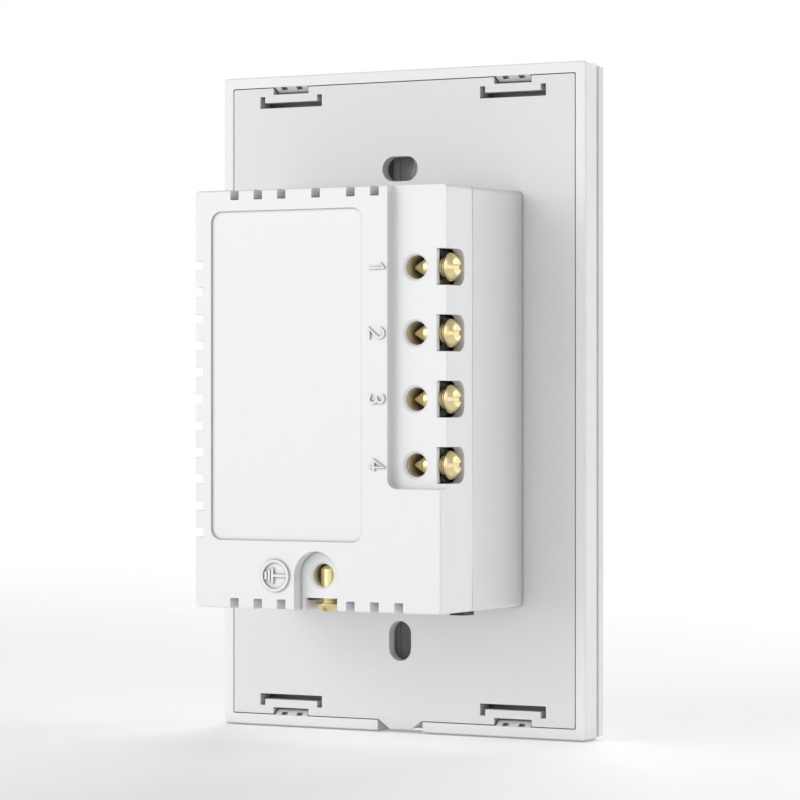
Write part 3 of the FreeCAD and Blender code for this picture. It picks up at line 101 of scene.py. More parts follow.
class Wiring:
    """Adds shader nodes to one tree and joins them up."""

    def __init__(self, tree: bpy.types.NodeTree) -> None:
        """Takes the tree to add to.

        Args:
            tree: The node tree.
        """
        self.tree = tree

    def add(self, kind: str, settings: dict | None = None, feeds: dict | None = None) -> bpy.types.Node:
        """Adds a node, sets its options and feeds its inputs.

        Args:
            kind: The node's type name.
            settings: Options to set on the node.
            feeds: Input name or number, with a value or another node's output.

        Returns:
            The new node.
        """
        node = self.tree.nodes.new(kind)
        for name, value in (settings or {}).items():
            setattr(node, name, value)
        for name, value in (feeds or {}).items():
            self.feed(node, name, value)
        return node

    def feed(self, node: bpy.types.Node, name: str | int, value: object) -> None:
        """Sets one input or links an output to it.

        Args:
            node: The node whose input it is.
            name: The input's name or number.
            value: A number, a colour or a socket.
        """
        socket = node.inputs[name]
        if isinstance(value, bpy.types.NodeSocket):
            self.tree.links.new(value, socket)
        elif isinstance(value, tuple) and len(value) == 3 and len(getattr(socket, "default_value", ())) == 4:
            socket.default_value = (*value, 1.0)
        else:
            socket.default_value = value

    def math(self, operation: str, *values: object) -> bpy.types.NodeSocket:
        """Works out one number.

        Args:
            operation: The sum to do, as Blender names it.
            values: Its inputs in order.

        Returns:
            The result's socket.
        """
        node = self.add("ShaderNodeMath", {"operation": operation}, dict(enumerate(values)))
        return node.outputs[0]

    def scaled(self, vector: bpy.types.NodeSocket, factor: object) -> bpy.types.NodeSocket:
        """Multiplies a colour or vector by a number.

        Args:
            vector: The socket to scale.
            factor: The number or its socket.

        Returns:
            The result's socket.
        """
        node = self.add("ShaderNodeVectorMath", {"operation": "SCALE"}, {0: vector, "Scale": factor})
        return node.outputs[0]

    def blended(self, share: object, first: object, second: object) -> bpy.types.NodeSocket:
        """Mixes two colours.

        Args:
            share: How much of the second, 0 to 1.
            first: A colour or its socket.
            second: A colour or its socket.

        Returns:
            The mixed colour's socket.
        """
        node = self.add("ShaderNodeMix", {"data_type": "RGBA"})
        self.feed(node, 0, share)
        self.feed(node, 6, first)
        self.feed(node, 7, second)
        return node.outputs[2]

    def raise_relief(self, shader: bpy.types.Node, height: bpy.types.NodeSocket, relief: float,
                     edge: float = 0.0) -> None:
        """Gives a shader its fine relief, over edges softened by the tool or by wear.

        Args:
            shader: The shader node.
            height: The relief's height over the surface.
            relief: How far it rises.
            edge: The edges' radius, or 0 for sharp edges.
        """
        bump = self.add("ShaderNodeBump", None, {"Strength": 1.0, "Distance": relief, "Height": height})
        if edge:
            rounded = self.add("ShaderNodeBevel", EDGE_SAMPLES, {"Radius": edge})
            self.feed(bump, "Normal", rounded.outputs[0])
        self.feed(shader, "Normal", bump.outputs[0])


@dataclass(frozen=True)
class Effect:
    """A shader group that several finishes share."""

    name: str
    inputs: tuple[tuple[str, str, object], ...]
    outputs: tuple[tuple[str, str], ...]
    wire: Callable[[Wiring, bpy.types.Node, bpy.types.Node], None]

    def tree(self) -> bpy.types.NodeTree:
        """Makes the group once, and gives the same one after that.

        Returns:
            The group's node tree.
        """
        made = bpy.data.node_groups.get(self.name)
        if made is not None:
            return made
        made = bpy.data.node_groups.new(self.name, "ShaderNodeTree")
        for name, kind, default in self.inputs:
            socket = made.interface.new_socket(name=name, in_out="INPUT", socket_type=kind)
            if default is not None:
                socket.default_value = default
        for name, kind in self.outputs:
            made.interface.new_socket(name=name, in_out="OUTPUT", socket_type=kind)
        wiring = Wiring(made)
        start = wiring.add("NodeGroupInput")
        end = wiring.add("NodeGroupOutput")
        self.wire(wiring, start, end)
        return made

    def place(self, wiring: Wiring, feeds: dict[str, object]) -> bpy.types.Node:
        """Puts the group in a material.

        Args:
            wiring: The material's wiring.
            feeds: The group's inputs by name.

        Returns:
            The group node.
        """
        node = wiring.add("ShaderNodeGroup", {"node_tree": self.tree()})
        for name, value in feeds.items():
            wiring.feed(node, name, value)
        return node


FLOAT, COLOUR = "NodeSocketFloat", "NodeSocketColor"


def wire_moulded_skin(w: Wiring, start: bpy.types.Node, end: bpy.types.Node) -> None:
    """Spark-eroded grain of a moulding, with a slow drift in tone where the melt flowed.

    Args:
        w: The group's wiring.
        start: The group's inputs.
        end: The group's outputs.
    """
    place = w.add("ShaderNodeTexCoord").outputs["Object"]
    fine = w.add("ShaderNodeTexNoise", None, {"Vector": place, "Detail": 3.0, "Roughness": 0.6})
    w.feed(fine, "Scale", w.math("DIVIDE", 1.0, start.outputs["Grain Size"]))
    pits = w.add("ShaderNodeTexVoronoi", {"feature": "F1"}, {"Vector": place})
    w.feed(pits, "Scale", w.math("DIVIDE", 0.7, start.outputs["Grain Size"]))
    broad = w.add("ShaderNodeTexNoise", None, {"Vector": place, "Scale": 38.0, "Detail": 2.0})
    drift = w.math("SUBTRACT", broad.outputs[0], 0.5)
    grain = w.math("SUBTRACT", fine.outputs[0], 0.5)
    tone = w.math("MULTIPLY_ADD", drift, start.outputs["Flow"], 1.0)
    tone = w.math("MULTIPLY_ADD", grain, w.math("MULTIPLY", start.outputs["Flow"], 0.5), tone)
    w.feed(end, "Colour", w.scaled(start.outputs["Colour"], tone))
    rough = w.math("MULTIPLY_ADD", drift, 0.18, start.outputs["Roughness"])
    w.feed(end, "Roughness", w.math("MULTIPLY_ADD", grain, 0.1, rough))
    w.feed(end, "Height", w.math("MULTIPLY_ADD", pits.outputs["Distance"], 0.6, fine.outputs[0]))


MOULDED_SKIN = Effect(
    "moulded skin",
    (("Colour", COLOUR, (0.8, 0.8, 0.8, 1.0)), ("Roughness", FLOAT, 0.4), ("Grain Size", FLOAT, 0.0004),
     ("Flow", FLOAT, 0.03)),
    (("Colour", COLOUR), ("Roughness", FLOAT), ("Height", FLOAT)),
    wire_moulded_skin,
)


def wire_edge_line(w: Wiring, start: bpy.types.Node, end: bpy.types.Node) -> None:
    """Finds a narrow line along the edges, where the finishes paint a highlight into the colour and lower the
    roughness for the polish of handling and the mould.

    Args:
        w: The group's wiring.
        start: The group's inputs.
        end: The group's outputs.
    """
    rounded = w.add("ShaderNodeBevel", EDGE_SAMPLES, {"Radius": start.outputs["Width"]})
    flat = w.add("ShaderNodeNewGeometry").outputs["Normal"]
    dot = w.add("ShaderNodeVectorMath", {"operation": "DOT_PRODUCT"}, {0: rounded.outputs[0], 1: flat})
    turn = w.math("SUBTRACT", 1.0, dot.outputs["Value"])
    w.feed(end, "Mask", w.math("MINIMUM", w.math("MULTIPLY", turn, 6.0), 1.0))


EDGE_LINE = Effect("edge line", (("Width", FLOAT, 0.0001),), (("Mask", FLOAT),), wire_edge_line)


def wire_inner_side(w: Wiring, start: bpy.types.Node, end: bpy.types.Node) -> None:
    """Finds the side of a key that faces the wall, within its skirts, where the keys get painted shade.

    Args:
        w: The group's wiring.
        start: The group's inputs.
        end: The group's outputs.
    """
    place = w.add("ShaderNodeTexCoord").outputs["Object"]
    x, y, z = w.add("ShaderNodeSeparateXYZ", None, {0: place}).outputs
    across = w.math("LESS_THAN", w.math("ABSOLUTE", x), start.outputs["Half Width"])
    up = w.math("LESS_THAN", w.math("ABSOLUTE", z), start.outputs["Half Height"])
    behind = w.math("GREATER_THAN", y, start.outputs["Front"])
    w.feed(end, "Mask", w.math("MULTIPLY", w.math("MULTIPLY", across, up), behind))


INNER_SIDE = Effect(
    "inner side",
    (("Half Width", FLOAT, 0.0346), ("Half Height", FLOAT, 0.0576), ("Front", FLOAT, -0.0059)),
    (("Mask", FLOAT),),
    wire_inner_side,
)


def wire_cavity(w: Wiring, start: bpy.types.Node, end: bpy.types.Node) -> None:
    """Finds closed-in places, such as a bore's inside, a recess or the foot of a raised mark, where the finishes lay
    painted shade, and painted light in the brass hollows.

    Args:
        w: The group's wiring.
        start: The group's inputs.
        end: The group's outputs.
    """
    open_share = w.add("ShaderNodeAmbientOcclusion", EDGE_SAMPLES, {"Distance": start.outputs["Reach"]})
    closed = w.math("SUBTRACT", start.outputs["Start"], open_share.outputs["AO"])
    grown = w.math("MULTIPLY", closed, start.outputs["Gain"])
    w.feed(end, "Mask", w.math("MINIMUM", w.math("MAXIMUM", grown, 0.0), 1.0))


CAVITY = Effect("cavity", (("Reach", FLOAT, 0.004), ("Start", FLOAT, 0.75), ("Gain", FLOAT, 1.8)),
                (("Mask", FLOAT),), wire_cavity)
# Painted shade: how closely and how strongly the mouldings are darkened in corners and recesses.
CORNER_SHADE = {"Reach": 0.0006, "Start": 0.88, "Gain": 2.2}
RECESS_SHADE = {"Reach": 0.006, "Start": 0.8, "Gain": 0.6}
# Painted shade deep inside the brass bores.
INMOST_BORE_SHADE = {"Start": 0.28, "Gain": 5.0}


def wire_shaded_ends(w: Wiring, start: bpy.types.Node, end: bpy.types.Node) -> None:
    """Finds the pillars' faces under the screws' heads, which get near-black painted shade broken up by grainy noise.

    Args:
        w: The group's wiring.
        start: The group's inputs.
        end: The group's outputs.
    """
    place = w.add("ShaderNodeTexCoord").outputs["Object"]
    x, _, z = w.add("ShaderNodeSeparateXYZ", None, {0: place}).outputs
    found = w.math("MAXIMUM", w.math("LESS_THAN", x, start.outputs["Side"]),
                   w.math("LESS_THAN", z, start.outputs["Foot"]))
    grit = w.add("ShaderNodeTexNoise", None, {"Vector": place, "Scale": 1400.0, "Detail": 2.0})
    rough = w.math("MINIMUM", w.math("MULTIPLY_ADD", grit.outputs[0], 0.8, 0.55), 1.0)
    w.feed(end, "Mask", w.math("MULTIPLY", found, rough))


SHADED_ENDS = Effect("shaded ends", (("Side", FLOAT, -0.0219), ("Foot", FLOAT, -0.0338)), (("Mask", FLOAT),),
                   wire_shaded_ends)


def wire_tool_marks(w: Wiring, start: bpy.types.Node, end: bpy.types.Node) -> None:
    """Lines that a cutting or rolling tool leaves in metal, with patches of dulled surface.

    Args:
        w: The group's wiring.
        start: The group's inputs.
        end: The group's outputs.
    """
    place = w.add("ShaderNodeTexCoord").outputs["Object"]
    x, y, z = w.add("ShaderNodeSeparateXYZ", None, {0: place}).outputs
    radius = w.math("SQRT", w.math("ADD", w.math("MULTIPLY", y, y), w.math("MULTIPLY", z, z)))
    size = start.outputs["Line Size"]
    turned = w.add("ShaderNodeCombineXYZ", None, {0: w.math("DIVIDE", radius, size), 1: w.math("DIVIDE", x, size)})
    drawn = w.add("ShaderNodeCombineXYZ", None, {0: w.math("DIVIDE", x, size), 1: w.math("DIVIDE", z, size),
                                                2: w.math("MULTIPLY", y, 300.0)})
    pick = w.add("ShaderNodeMix", {"data_type": "VECTOR"})
    w.feed(pick, 0, start.outputs["Turned"])
    w.feed(pick, 4, drawn.outputs[0])
    w.feed(pick, 5, turned.outputs[0])
    lines = w.add("ShaderNodeTexNoise", None, {"Vector": pick.outputs[1], "Scale": 1.0, "Detail": 2.0})
    patches = w.add("ShaderNodeTexNoise", None, {"Vector": place, "Scale": 420.0, "Detail": 3.0})
    dull = w.math("MULTIPLY", w.math("MAXIMUM", w.math("SUBTRACT", patches.outputs[0], 0.5), 0.0),
                  start.outputs["Dulled"])
    w.feed(end, "Colour", w.blended(dull, start.outputs["Colour"], start.outputs["Dull Colour"]))
    fine = w.math("SUBTRACT", lines.outputs[0], 0.5)
    rough = w.math("MULTIPLY_ADD", fine, 0.16, start.outputs["Roughness"])
    w.feed(end, "Roughness", w.math("MULTIPLY_ADD", dull, 0.2, rough))
    w.feed(end, "Height", lines.outputs[0])


TOOL_MARKS = Effect(
    "tool marks",
    (("Colour", COLOUR, (0.8, 0.6, 0.3, 1.0)), ("Dull Colour", COLOUR, (0.4, 0.3, 0.15, 1.0)),
     ("Roughness", FLOAT, 0.25), ("Line Size", FLOAT, 0.0001), ("Turned", FLOAT, 0.0), ("Dulled", FLOAT, 0.8)),
    (("Colour", COLOUR), ("Roughness", FLOAT), ("Height", FLOAT)),
    wire_tool_marks,
)


def wire_tracks(w: Wiring, start: bpy.types.Node, end: bpy.types.Node) -> None:
    """Copper tracks, pads and the glass weave under a board's lacquer.

    Args:
        w: The group's wiring.
        start: The group's inputs.
        end: The group's outputs.
    """
    place = w.add("ShaderNodeTexCoord").outputs["Object"]
    split = w.add("ShaderNodeSeparateXYZ", None, {0: place})
    flat = w.add("ShaderNodeCombineXYZ", None, {0: split.outputs[0], 1: split.outputs[2]}).outputs[0]
    pitch = start.outputs["Pitch"]
    runs = w.add("ShaderNodeTexBrick", {"offset": 0.37, "squash": 1.6, "squash_frequency": 3},
                 {"Vector": flat, "Color1": (0.0, 0.0, 0.0), "Color2": (0.0, 0.0, 0.0), "Mortar": (1.0, 1.0, 1.0),
                  "Mortar Size": 0.02, "Brick Width": 0.9, "Row Height": 0.35})
    w.feed(runs, "Scale", w.math("DIVIDE", 0.25, pitch))
    holes = w.add("ShaderNodeTexVoronoi", {"feature": "F1"}, {"Vector": flat, "Randomness": 0.85})
    w.feed(holes, "Scale", w.math("DIVIDE", 0.5, pitch))
    pads = w.math("LESS_THAN", holes.outputs["Distance"], 0.16)
    weave = w.add("ShaderNodeTexWave", {"bands_direction": "DIAGONAL"}, {"Vector": flat, "Distortion": 1.0})
    w.feed(weave, "Scale", w.math("DIVIDE", 0.4, pitch))
    lacquer = w.blended(w.math("MULTIPLY", weave.outputs["Fac"], 0.12), start.outputs["Colour"], (0.3, 0.4, 0.25))
    covered = w.blended(w.math("MULTIPLY", runs.outputs["Color"], 0.7), lacquer, start.outputs["Track Colour"])
    w.feed(end, "Colour", w.blended(pads, covered, (0.72, 0.7, 0.66)))
    w.feed(end, "Pads", pads)
    w.feed(end, "Height", w.math("MULTIPLY_ADD", weave.outputs["Fac"], 0.2,
                                 w.math("ADD", runs.outputs["Color"], pads)))


TRACKS = Effect(
    "board tracks",
    (("Colour", COLOUR, (0.05, 0.2, 0.1, 1.0)), ("Track Colour", COLOUR, (0.1, 0.34, 0.16, 1.0)),
     ("Pitch", FLOAT, 0.0012)),
    (("Colour", COLOUR), ("Pads", FLOAT), ("Height", FLOAT)),
    wire_tracks,
)


def wire_turns(w: Wiring, start: bpy.types.Node, end: bpy.types.Node) -> None:
    """Side by side turns of thin wire or tape.

    Args:
        w: The group's wiring.
        start: The group's inputs.
        end: The group's outputs.
    """
    place = w.add("ShaderNodeTexCoord").outputs["Object"]
    wave = w.add("ShaderNodeTexWave", {"bands_direction": "Y"}, {"Vector": place, "Distortion": 0.6, "Detail": 1.0})
    w.feed(wave, "Scale", w.math("DIVIDE", 0.314, start.outputs["Turn"]))
    w.feed(end, "Colour", w.blended(wave.outputs["Fac"], start.outputs["Groove Colour"], start.outputs["Colour"]))
    w.feed(end, "Height", wave.outputs["Fac"])


TURNS = Effect(
    "wound turns",
    (("Colour", COLOUR, (0.6, 0.3, 0.1, 1.0)), ("Groove Colour", COLOUR, (0.1, 0.05, 0.02, 1.0)),
     ("Turn", FLOAT, 0.0005)),
    (("Colour", COLOUR), ("Height", FLOAT)),
    wire_turns,
)


# Finishes


# Painted highlight colour along the mouldings' edges.
EDGE_HIGHLIGHT = (0.95, 0.95, 0.95)


def new_material(name: str) -> tuple[bpy.types.Material, Wiring, bpy.types.Node]:
    """Makes an empty material with its shader.

    Args:
        name: The material's name.

    Returns:
        The material, its wiring and its shader node.
    """
    material = bpy.data.materials.new(name)
    material.use_nodes = True
    material.node_tree.nodes.clear()
    wiring = Wiring(material.node_tree)
    shader = wiring.add("ShaderNodeBsdfPrincipled")
    wiring.add("ShaderNodeOutputMaterial", None, {"Surface": shader.outputs[0]})
    return material, wiring, shader


@dataclass(frozen=True)
class Moulding:
    """Moulded plastic, lacquer or sintered ware, from matt to polished."""

    colour: Colour
    roughness: float = 0.42
    grain: float = 0.0003
    relief: float = 0.000012
    flow: float = 0.03
    coat: float = 0.0
    edge: float = 0.00018
    # Painted highlight: how far the edges' colour is lifted towards white.
    edge_highlight: float = 0.06
    specular: float = 0.5
    depth: float = 0.0
    # Painted shade colour, laid into corners and recesses.
    painted_shade: Colour | None = None
    # Painted shade colour for a key's wall side and skirts, a dark coat where the key lies only in shade.
    inner_shade: Colour | None = None

    def build(self, name: str) -> bpy.types.Material:
        """Makes the material.

        Args:
            name: The material's name.

        Returns:
            The material.
        """
        material, w, shader = new_material(name)
        skin = MOULDED_SKIN.place(w, {"Colour": self.colour, "Roughness": self.roughness,
                                      "Grain Size": self.grain, "Flow": self.flow})
        line = EDGE_LINE.place(w, {"Width": self.edge})
        # Painted highlight along the edges.
        highlight_share = w.math("MULTIPLY", line.outputs["Mask"], self.edge_highlight)
        colour = w.blended(highlight_share, skin.outputs["Colour"], EDGE_HIGHLIGHT)
        # Painted shade in corners and recesses, found by how closed-in each place is.
        if self.painted_shade:
            for layer in (CORNER_SHADE, RECESS_SHADE):
                colour = w.blended(CAVITY.place(w, layer).outputs["Mask"], colour, self.painted_shade)
        # Painted shade over the key's wall side and skirts.
        if self.inner_shade:
            colour = w.blended(INNER_SIDE.place(w, {}).outputs["Mask"], colour, self.inner_shade)
        w.feed(shader, "Base Color", colour)
        w.feed(shader, "Roughness", w.math("MULTIPLY_ADD", line.outputs["Mask"], -0.08, skin.outputs["Roughness"]))
        w.raise_relief(shader, skin.outputs["Height"], self.relief, self.edge)
        w.feed(shader, "Specular IOR Level", self.specular)
        if self.coat:
            w.feed(shader, "Coat Weight", self.coat)
            w.feed(shader, "Coat Roughness", 0.06)
        if self.depth:
            w.feed(shader, "Subsurface Weight", self.depth)
            w.feed(shader, "Subsurface Scale", 0.0008)
        return material


@dataclass(frozen=True)
class Metal:
    """Cut, drawn or plated metal."""

    colour: Colour
    dull: Colour
    roughness: float = 0.25
    line: float = 0.00006
    relief: float = 0.000004
    turned: float = 0.0
    dulled: float = 0.9
    edge: float = 0.0001
    # Painted light: a paler colour laid into hollows such as the bores, so that they read as lit.
    painted_hollow_light: Colour | None = None
    # How far the metal turns matt in those hollows, as part of the painted light.
    skin: float = 0.6
    # Painted shade colour for the deepest parts of the bores.
    inmost_shade: Colour | None = None
    # Painted shade colour, near black, for the pillars' faces under the screws' heads.
    end_shade: Colour | None = None

    def build(self, name: str) -> bpy.types.Material:
        """Makes the material.

        Args:
            name: The material's name.

        Returns:
            The material.
        """
        material, w, shader = new_material(name)
        marks = TOOL_MARKS.place(w, {"Colour": self.colour, "Dull Colour": self.dull, "Roughness": self.roughness,
                                     "Line Size": self.line, "Turned": self.turned, "Dulled": self.dulled})
        line = EDGE_LINE.place(w, {"Width": self.edge})
        # Painted highlight along the metal's edges: a brighter copy of its colour.
        edge_glint = tuple(min(1.0, 1.2 * value + 0.05) for value in self.colour)
        colour = w.blended(line.outputs["Mask"], marks.outputs["Colour"], edge_glint)
        w.feed(shader, "Metallic", 1.0)
        ends = SHADED_ENDS.place(w, {}).outputs["Mask"] if self.end_shade else None
        # Painted light in the hollows: paler colour and less metal.
        if self.painted_hollow_light:
            closed = CAVITY.place(w, {}).outputs["Mask"]
            if ends is not None:
                closed = w.math("MULTIPLY", closed, w.math("SUBTRACT", 1.0, ends))
            colour = w.blended(closed, colour, self.painted_hollow_light)
            w.feed(shader, "Metallic", w.math("MULTIPLY_ADD", closed, -self.skin, 1.0))
        # Painted shade in the deepest parts of the bores.
        if self.inmost_shade:
            colour = w.blended(CAVITY.place(w, INMOST_BORE_SHADE).outputs["Mask"], colour, self.inmost_shade)
        # Painted shade on the pillars' faces under the screws' heads.
        if ends is not None:
            colour = w.blended(ends, colour, self.end_shade)
        w.feed(shader, "Base Color", colour)
        w.feed(shader, "Roughness", marks.outputs["Roughness"])
        w.raise_relief(shader, marks.outputs["Height"], self.relief, self.edge)
        return material


@dataclass(frozen=True)
class Laminate:
    """Lacquered circuit board with its tracks and pads."""

    colour: Colour
    track: Colour
    pitch: float = 0.0012
    relief: float = 0.00003

    def build(self, name: str) -> bpy.types.Material:
        """Makes the material.

        Args:
            name: The material's name.

        Returns:
            The material.
        """
        material, w, shader = new_material(name)
        tracks = TRACKS.place(w, {"Colour": self.colour, "Track Colour": self.track, "Pitch": self.pitch})
        skin = MOULDED_SKIN.place(w, {"Colour": tracks.outputs["Colour"], "Roughness": 0.3,
                                      "Grain Size": 0.0005, "Flow": 0.1})
        w.feed(shader, "Base Color", skin.outputs["Colour"])
        w.feed(shader, "Metallic", tracks.outputs["Pads"])
        w.feed(shader, "Roughness", skin.outputs["Roughness"])
        w.raise_relief(shader, tracks.outputs["Height"], self.relief)
        return material


@dataclass(frozen=True)
class Wound:
    """Turns of wire or tape."""

    colour: Colour
    groove: Colour
    turn: float = 0.0005
    roughness: float = 0.35
    relief: float = 0.00006

    def build(self, name: str) -> bpy.types.Material:
        """Makes the material.

        Args:
            name: The material's name.

        Returns:
            The material.
        """
        material, w, shader = new_material(name)
        turns = TURNS.place(w, {"Colour": self.colour, "Groove Colour": self.groove, "Turn": self.turn})
        skin = MOULDED_SKIN.place(w, {"Colour": turns.outputs["Colour"], "Roughness": self.roughness,
                                      "Grain Size": 0.0006, "Flow": 0.12})
        w.feed(shader, "Base Color", skin.outputs["Colour"])
        w.feed(shader, "Roughness", skin.outputs["Roughness"])
        w.raise_relief(shader, turns.outputs["Height"], self.relief)
        return material


@dataclass(frozen=True)
class Clear:
    """Clear or milky plastic and glass."""

    colour: Colour
    roughness: float = 0.08
    through: float = 1.0
    ior: float = 1.49

    def build(self, name: str) -> bpy.types.Material:
        """Makes the material.

        Args:
            name: The material's name.

        Returns:
            The material.
        """
        material, w, shader = new_material(name)
        skin = MOULDED_SKIN.place(w, {"Colour": self.colour, "Roughness": self.roughness, "Grain Size": 0.0006,
                                      "Flow": 0.06})
        w.feed(shader, "Base Color", skin.outputs["Colour"])
        w.feed(shader, "Roughness", skin.outputs["Roughness"])
        w.feed(shader, "Transmission Weight", self.through)
        w.feed(shader, "IOR", self.ior)
        bump = w.add("ShaderNodeBump", None, {"Strength": 0.6, "Distance": 0.00001, "Height": skin.outputs["Height"]})
        w.feed(shader, "Normal", bump.outputs[0])
        return material


FINISHES: dict[str, Moulding | Metal | Laminate | Wound | Clear] = {
    # The white mouldings carry painted shade in corners and recesses.
    "housing_white": Moulding((0.88, 0.885, 0.89), 0.46, 0.00035, 0.000012, 0.02, depth=0.04, painted_shade=(0.4, 0.4, 0.41)),
    "plate_white": Moulding((0.79, 0.795, 0.8), 0.46, 0.00035, 0.000012, 0.02, depth=0.04, painted_shade=(0.4, 0.4, 0.41)),
    "frame_white": Moulding((0.88, 0.885, 0.89), 0.4, 0.0003, 0.00001, 0.02, depth=0.04, painted_shade=(0.34, 0.34, 0.35)),
    # The keys get painted shade on their wall side.
    "key_white": Moulding((0.86, 0.865, 0.87), 0.22, 0.0006, 0.000003, 0.015, coat=0.35, depth=0.04,
                          inner_shade=(0.46, 0.46, 0.465)),
    "latch_black": Moulding((0.022, 0.022, 0.024), 0.5, 0.0003, 0.00002, 0.3, edge_highlight=0.1),
    "lid_grey": Moulding((0.52, 0.53, 0.54), 0.5, 0.00035, 0.00002, 0.06),
    "connector_black": Moulding((0.025, 0.025, 0.027), 0.42, 0.0004, 0.00001, 0.3),
    "plunger_black": Moulding((0.02, 0.02, 0.02), 0.36, 0.0004, 0.000008, 0.3),
    "relay_blue": Moulding((0.03, 0.14, 0.42), 0.3, 0.0004, 0.000006, 0.1, coat=0.2),
    "ferrite": Moulding((0.05, 0.05, 0.055), 0.62, 0.0002, 0.00003, 0.5, specular=0.35),
    "film_yellow": Moulding((0.76, 0.55, 0.05), 0.3, 0.0005, 0.000008, 0.1, coat=0.2),
    "can_black": Moulding((0.03, 0.035, 0.08), 0.24, 0.0008, 0.000006, 0.25, coat=0.4),
    "varistor_blue": Moulding((0.04, 0.13, 0.36), 0.26, 0.0009, 0.00003, 0.2, coat=0.5),
    "lamp_white": Moulding((0.88, 0.85, 0.62), 0.3, 0.0003, 0.000004, 0.1, depth=0.2),
    # Brass: painted light near the hollows' mouths, painted shade deepest in the bores and on the pillars' faces
    # under the heads.
    "brass": Metal((0.86, 0.76, 0.46), (0.5, 0.4, 0.2), 0.36, painted_hollow_light=(0.98, 0.9, 0.66), inmost_shade=(0.04, 0.028, 0.01),
                   end_shade=(0.012, 0.009, 0.004)),
    "turned_brass": Metal((0.78, 0.67, 0.37), (0.54, 0.44, 0.24), 0.3, turned=1.0, painted_hollow_light=(0.9, 0.76, 0.42)),
    "screw_steel": Metal((0.66, 0.66, 0.68), (0.36, 0.36, 0.38), 0.28),
    "shield_tin": Metal((0.72, 0.72, 0.71), (0.45, 0.45, 0.45), 0.34, line=0.0002),
    "switch_metal": Metal((0.58, 0.58, 0.59), (0.33, 0.33, 0.34), 0.32),
    "board_green": Laminate((0.03, 0.19, 0.08), (0.06, 0.32, 0.13)),
    "module_blue": Laminate((0.02, 0.06, 0.2), (0.05, 0.13, 0.34), 0.0007),
    "winding_tape": Wound((0.8, 0.62, 0.08), (0.5, 0.36, 0.03), 0.0018, 0.28),
    "coil_black": Wound((0.5, 0.22, 0.09), (0.08, 0.035, 0.015), 0.0004),
    "clear_plastic": Clear((0.9, 0.92, 0.93), 0.12, 0.85),
    "fuse_glass": Clear((0.93, 0.96, 0.95), 0.04, 0.95, 1.52),
}


class Paintbox:
    """Hands out each finish's material, made once."""

    def __init__(self) -> None:
        """Starts with no material made."""
        self.made: dict[str, bpy.types.Material] = {}

    def get(self, name: str) -> bpy.types.Material:
        """Gives a finish's material.

        Args:
            name: The finish's name.

        Returns:
            The material.
        """
        if name not in self.made:
            self.made[name] = FINISHES[name].build(name)
        return self.made[name]

    def dress(self, piece: bpy.types.Object, name: str) -> None:
        """Gives every slot of a piece one finish.

        Args:
            piece: The piece.
            name: The finish's name.
        """
        material = self.get(name)
        if not piece.material_slots:
            piece.data.materials.append(material)
        for slot in piece.material_slots:
            slot.material = material


# Meshes


def mesh_piece(name: str, made: bmesh.types.BMesh, place: Matrix = Matrix()) -> bpy.types.Object:
    """Turns a bmesh into an object of the scene.

    Args:
        name: The piece's name.
        made: The mesh in its own axes.
        place: Where it goes.

    Returns:
        The new object.
    """
    bmesh.ops.recalc_face_normals(made, faces=made.faces)
    mesh = bpy.data.meshes.new(name)
    made.to_mesh(mesh)
    made.free()
    piece = bpy.data.objects.new(name, mesh)
    piece.matrix_world = place
    bpy.context.scene.collection.objects.link(piece)
    return piece


def ribbon(points: list[Point], half: float, cap_steps: int = 6) -> list[Point]:
    """The outline of a stroke of even width with round ends.

    Args:
        points: The stroke's middle line.
        half: Half its width.
        cap_steps: Steps in each round end.

    Returns:
        The outline's points, in order.
    """
    line = [Vector(point) for point in points]
    ways = [(after - before).normalized() for before, after in zip(line, line[1:])]
    sides = []
    for index, point in enumerate(line):
        before = ways[max(index - 1, 0)]
        after = ways[min(index, len(ways) - 1)]
        middle = (before + after).normalized()
        across = Vector((-middle.y, middle.x))
        reach = half / max(across.dot(Vector((-after.y, after.x))), 0.55)
        sides.append((point + across * reach, point - across * reach))
    outline = [left for left, right in sides]
    outline += round_end(line[-1], ways[-1], half, cap_steps)
    outline += [right for left, right in reversed(sides)]
    outline += round_end(line[0], -ways[0], half, cap_steps)
    return [(point.x, point.y) for point in outline]


def round_end(point: Vector, way: Vector, half: float, steps: int) -> list[Vector]:
    """The points of a half circle round a stroke's end, without its first and last.

    Args:
        point: The stroke's end.
        way: The way that the stroke runs there.
        half: The circle's radius.
        steps: Steps in the half circle.

    Returns:
        The points, from the stroke's left to its right.
    """
    left = Vector((-way.y, way.x))
    turns = [math.pi * step / steps for step in range(1, steps)]
    return [point + left * half * math.cos(turn) + way * half * math.sin(turn) for turn in turns]


def arc(centre: Point, radius: float, start: float, end: float, steps: int = 12) -> list[Point]:
    """Points along a circle.

    Args:
        centre: The circle's centre.
        radius: Its radius.
        start: Where to start, in degrees.
        end: Where to end.
        steps: How many steps.

    Returns:
        The points.
    """
    turns = [math.radians(start + (end - start) * step / steps) for step in range(steps + 1)]
    return [(centre[0] + radius * math.cos(turn), centre[1] + radius * math.sin(turn)) for turn in turns]


def digit_strokes(digit: Digit) -> list[list[Point]]:
    """The strokes that draw one plain number.

    Args:
        digit: The number.

    Returns:
        One list of points per stroke, in a cell 0.6 wide and 1 high.
    """
    if digit is Digit.ONE:
        return [[(0.1, 0.78), (0.34, 1.0), (0.34, 0.0)]]
    if digit is Digit.TWO:
        bend = arc((0.3, 0.72), 0.28, 170, -35)
        return [bend + [(0.02, 0.0), (0.6, 0.0)]]
    if digit is Digit.THREE:
        upper = arc((0.27, 0.76), 0.24, 140, -90, 10)
        lower = arc((0.27, 0.26), 0.27, 90, -145, 10)
        return [upper, [(0.2, 0.52), *lower]]
    return [[(0.44, 0.0), (0.44, 1.0), (0.0, 0.3), (0.6, 0.3)]]


# Sub-assemblies


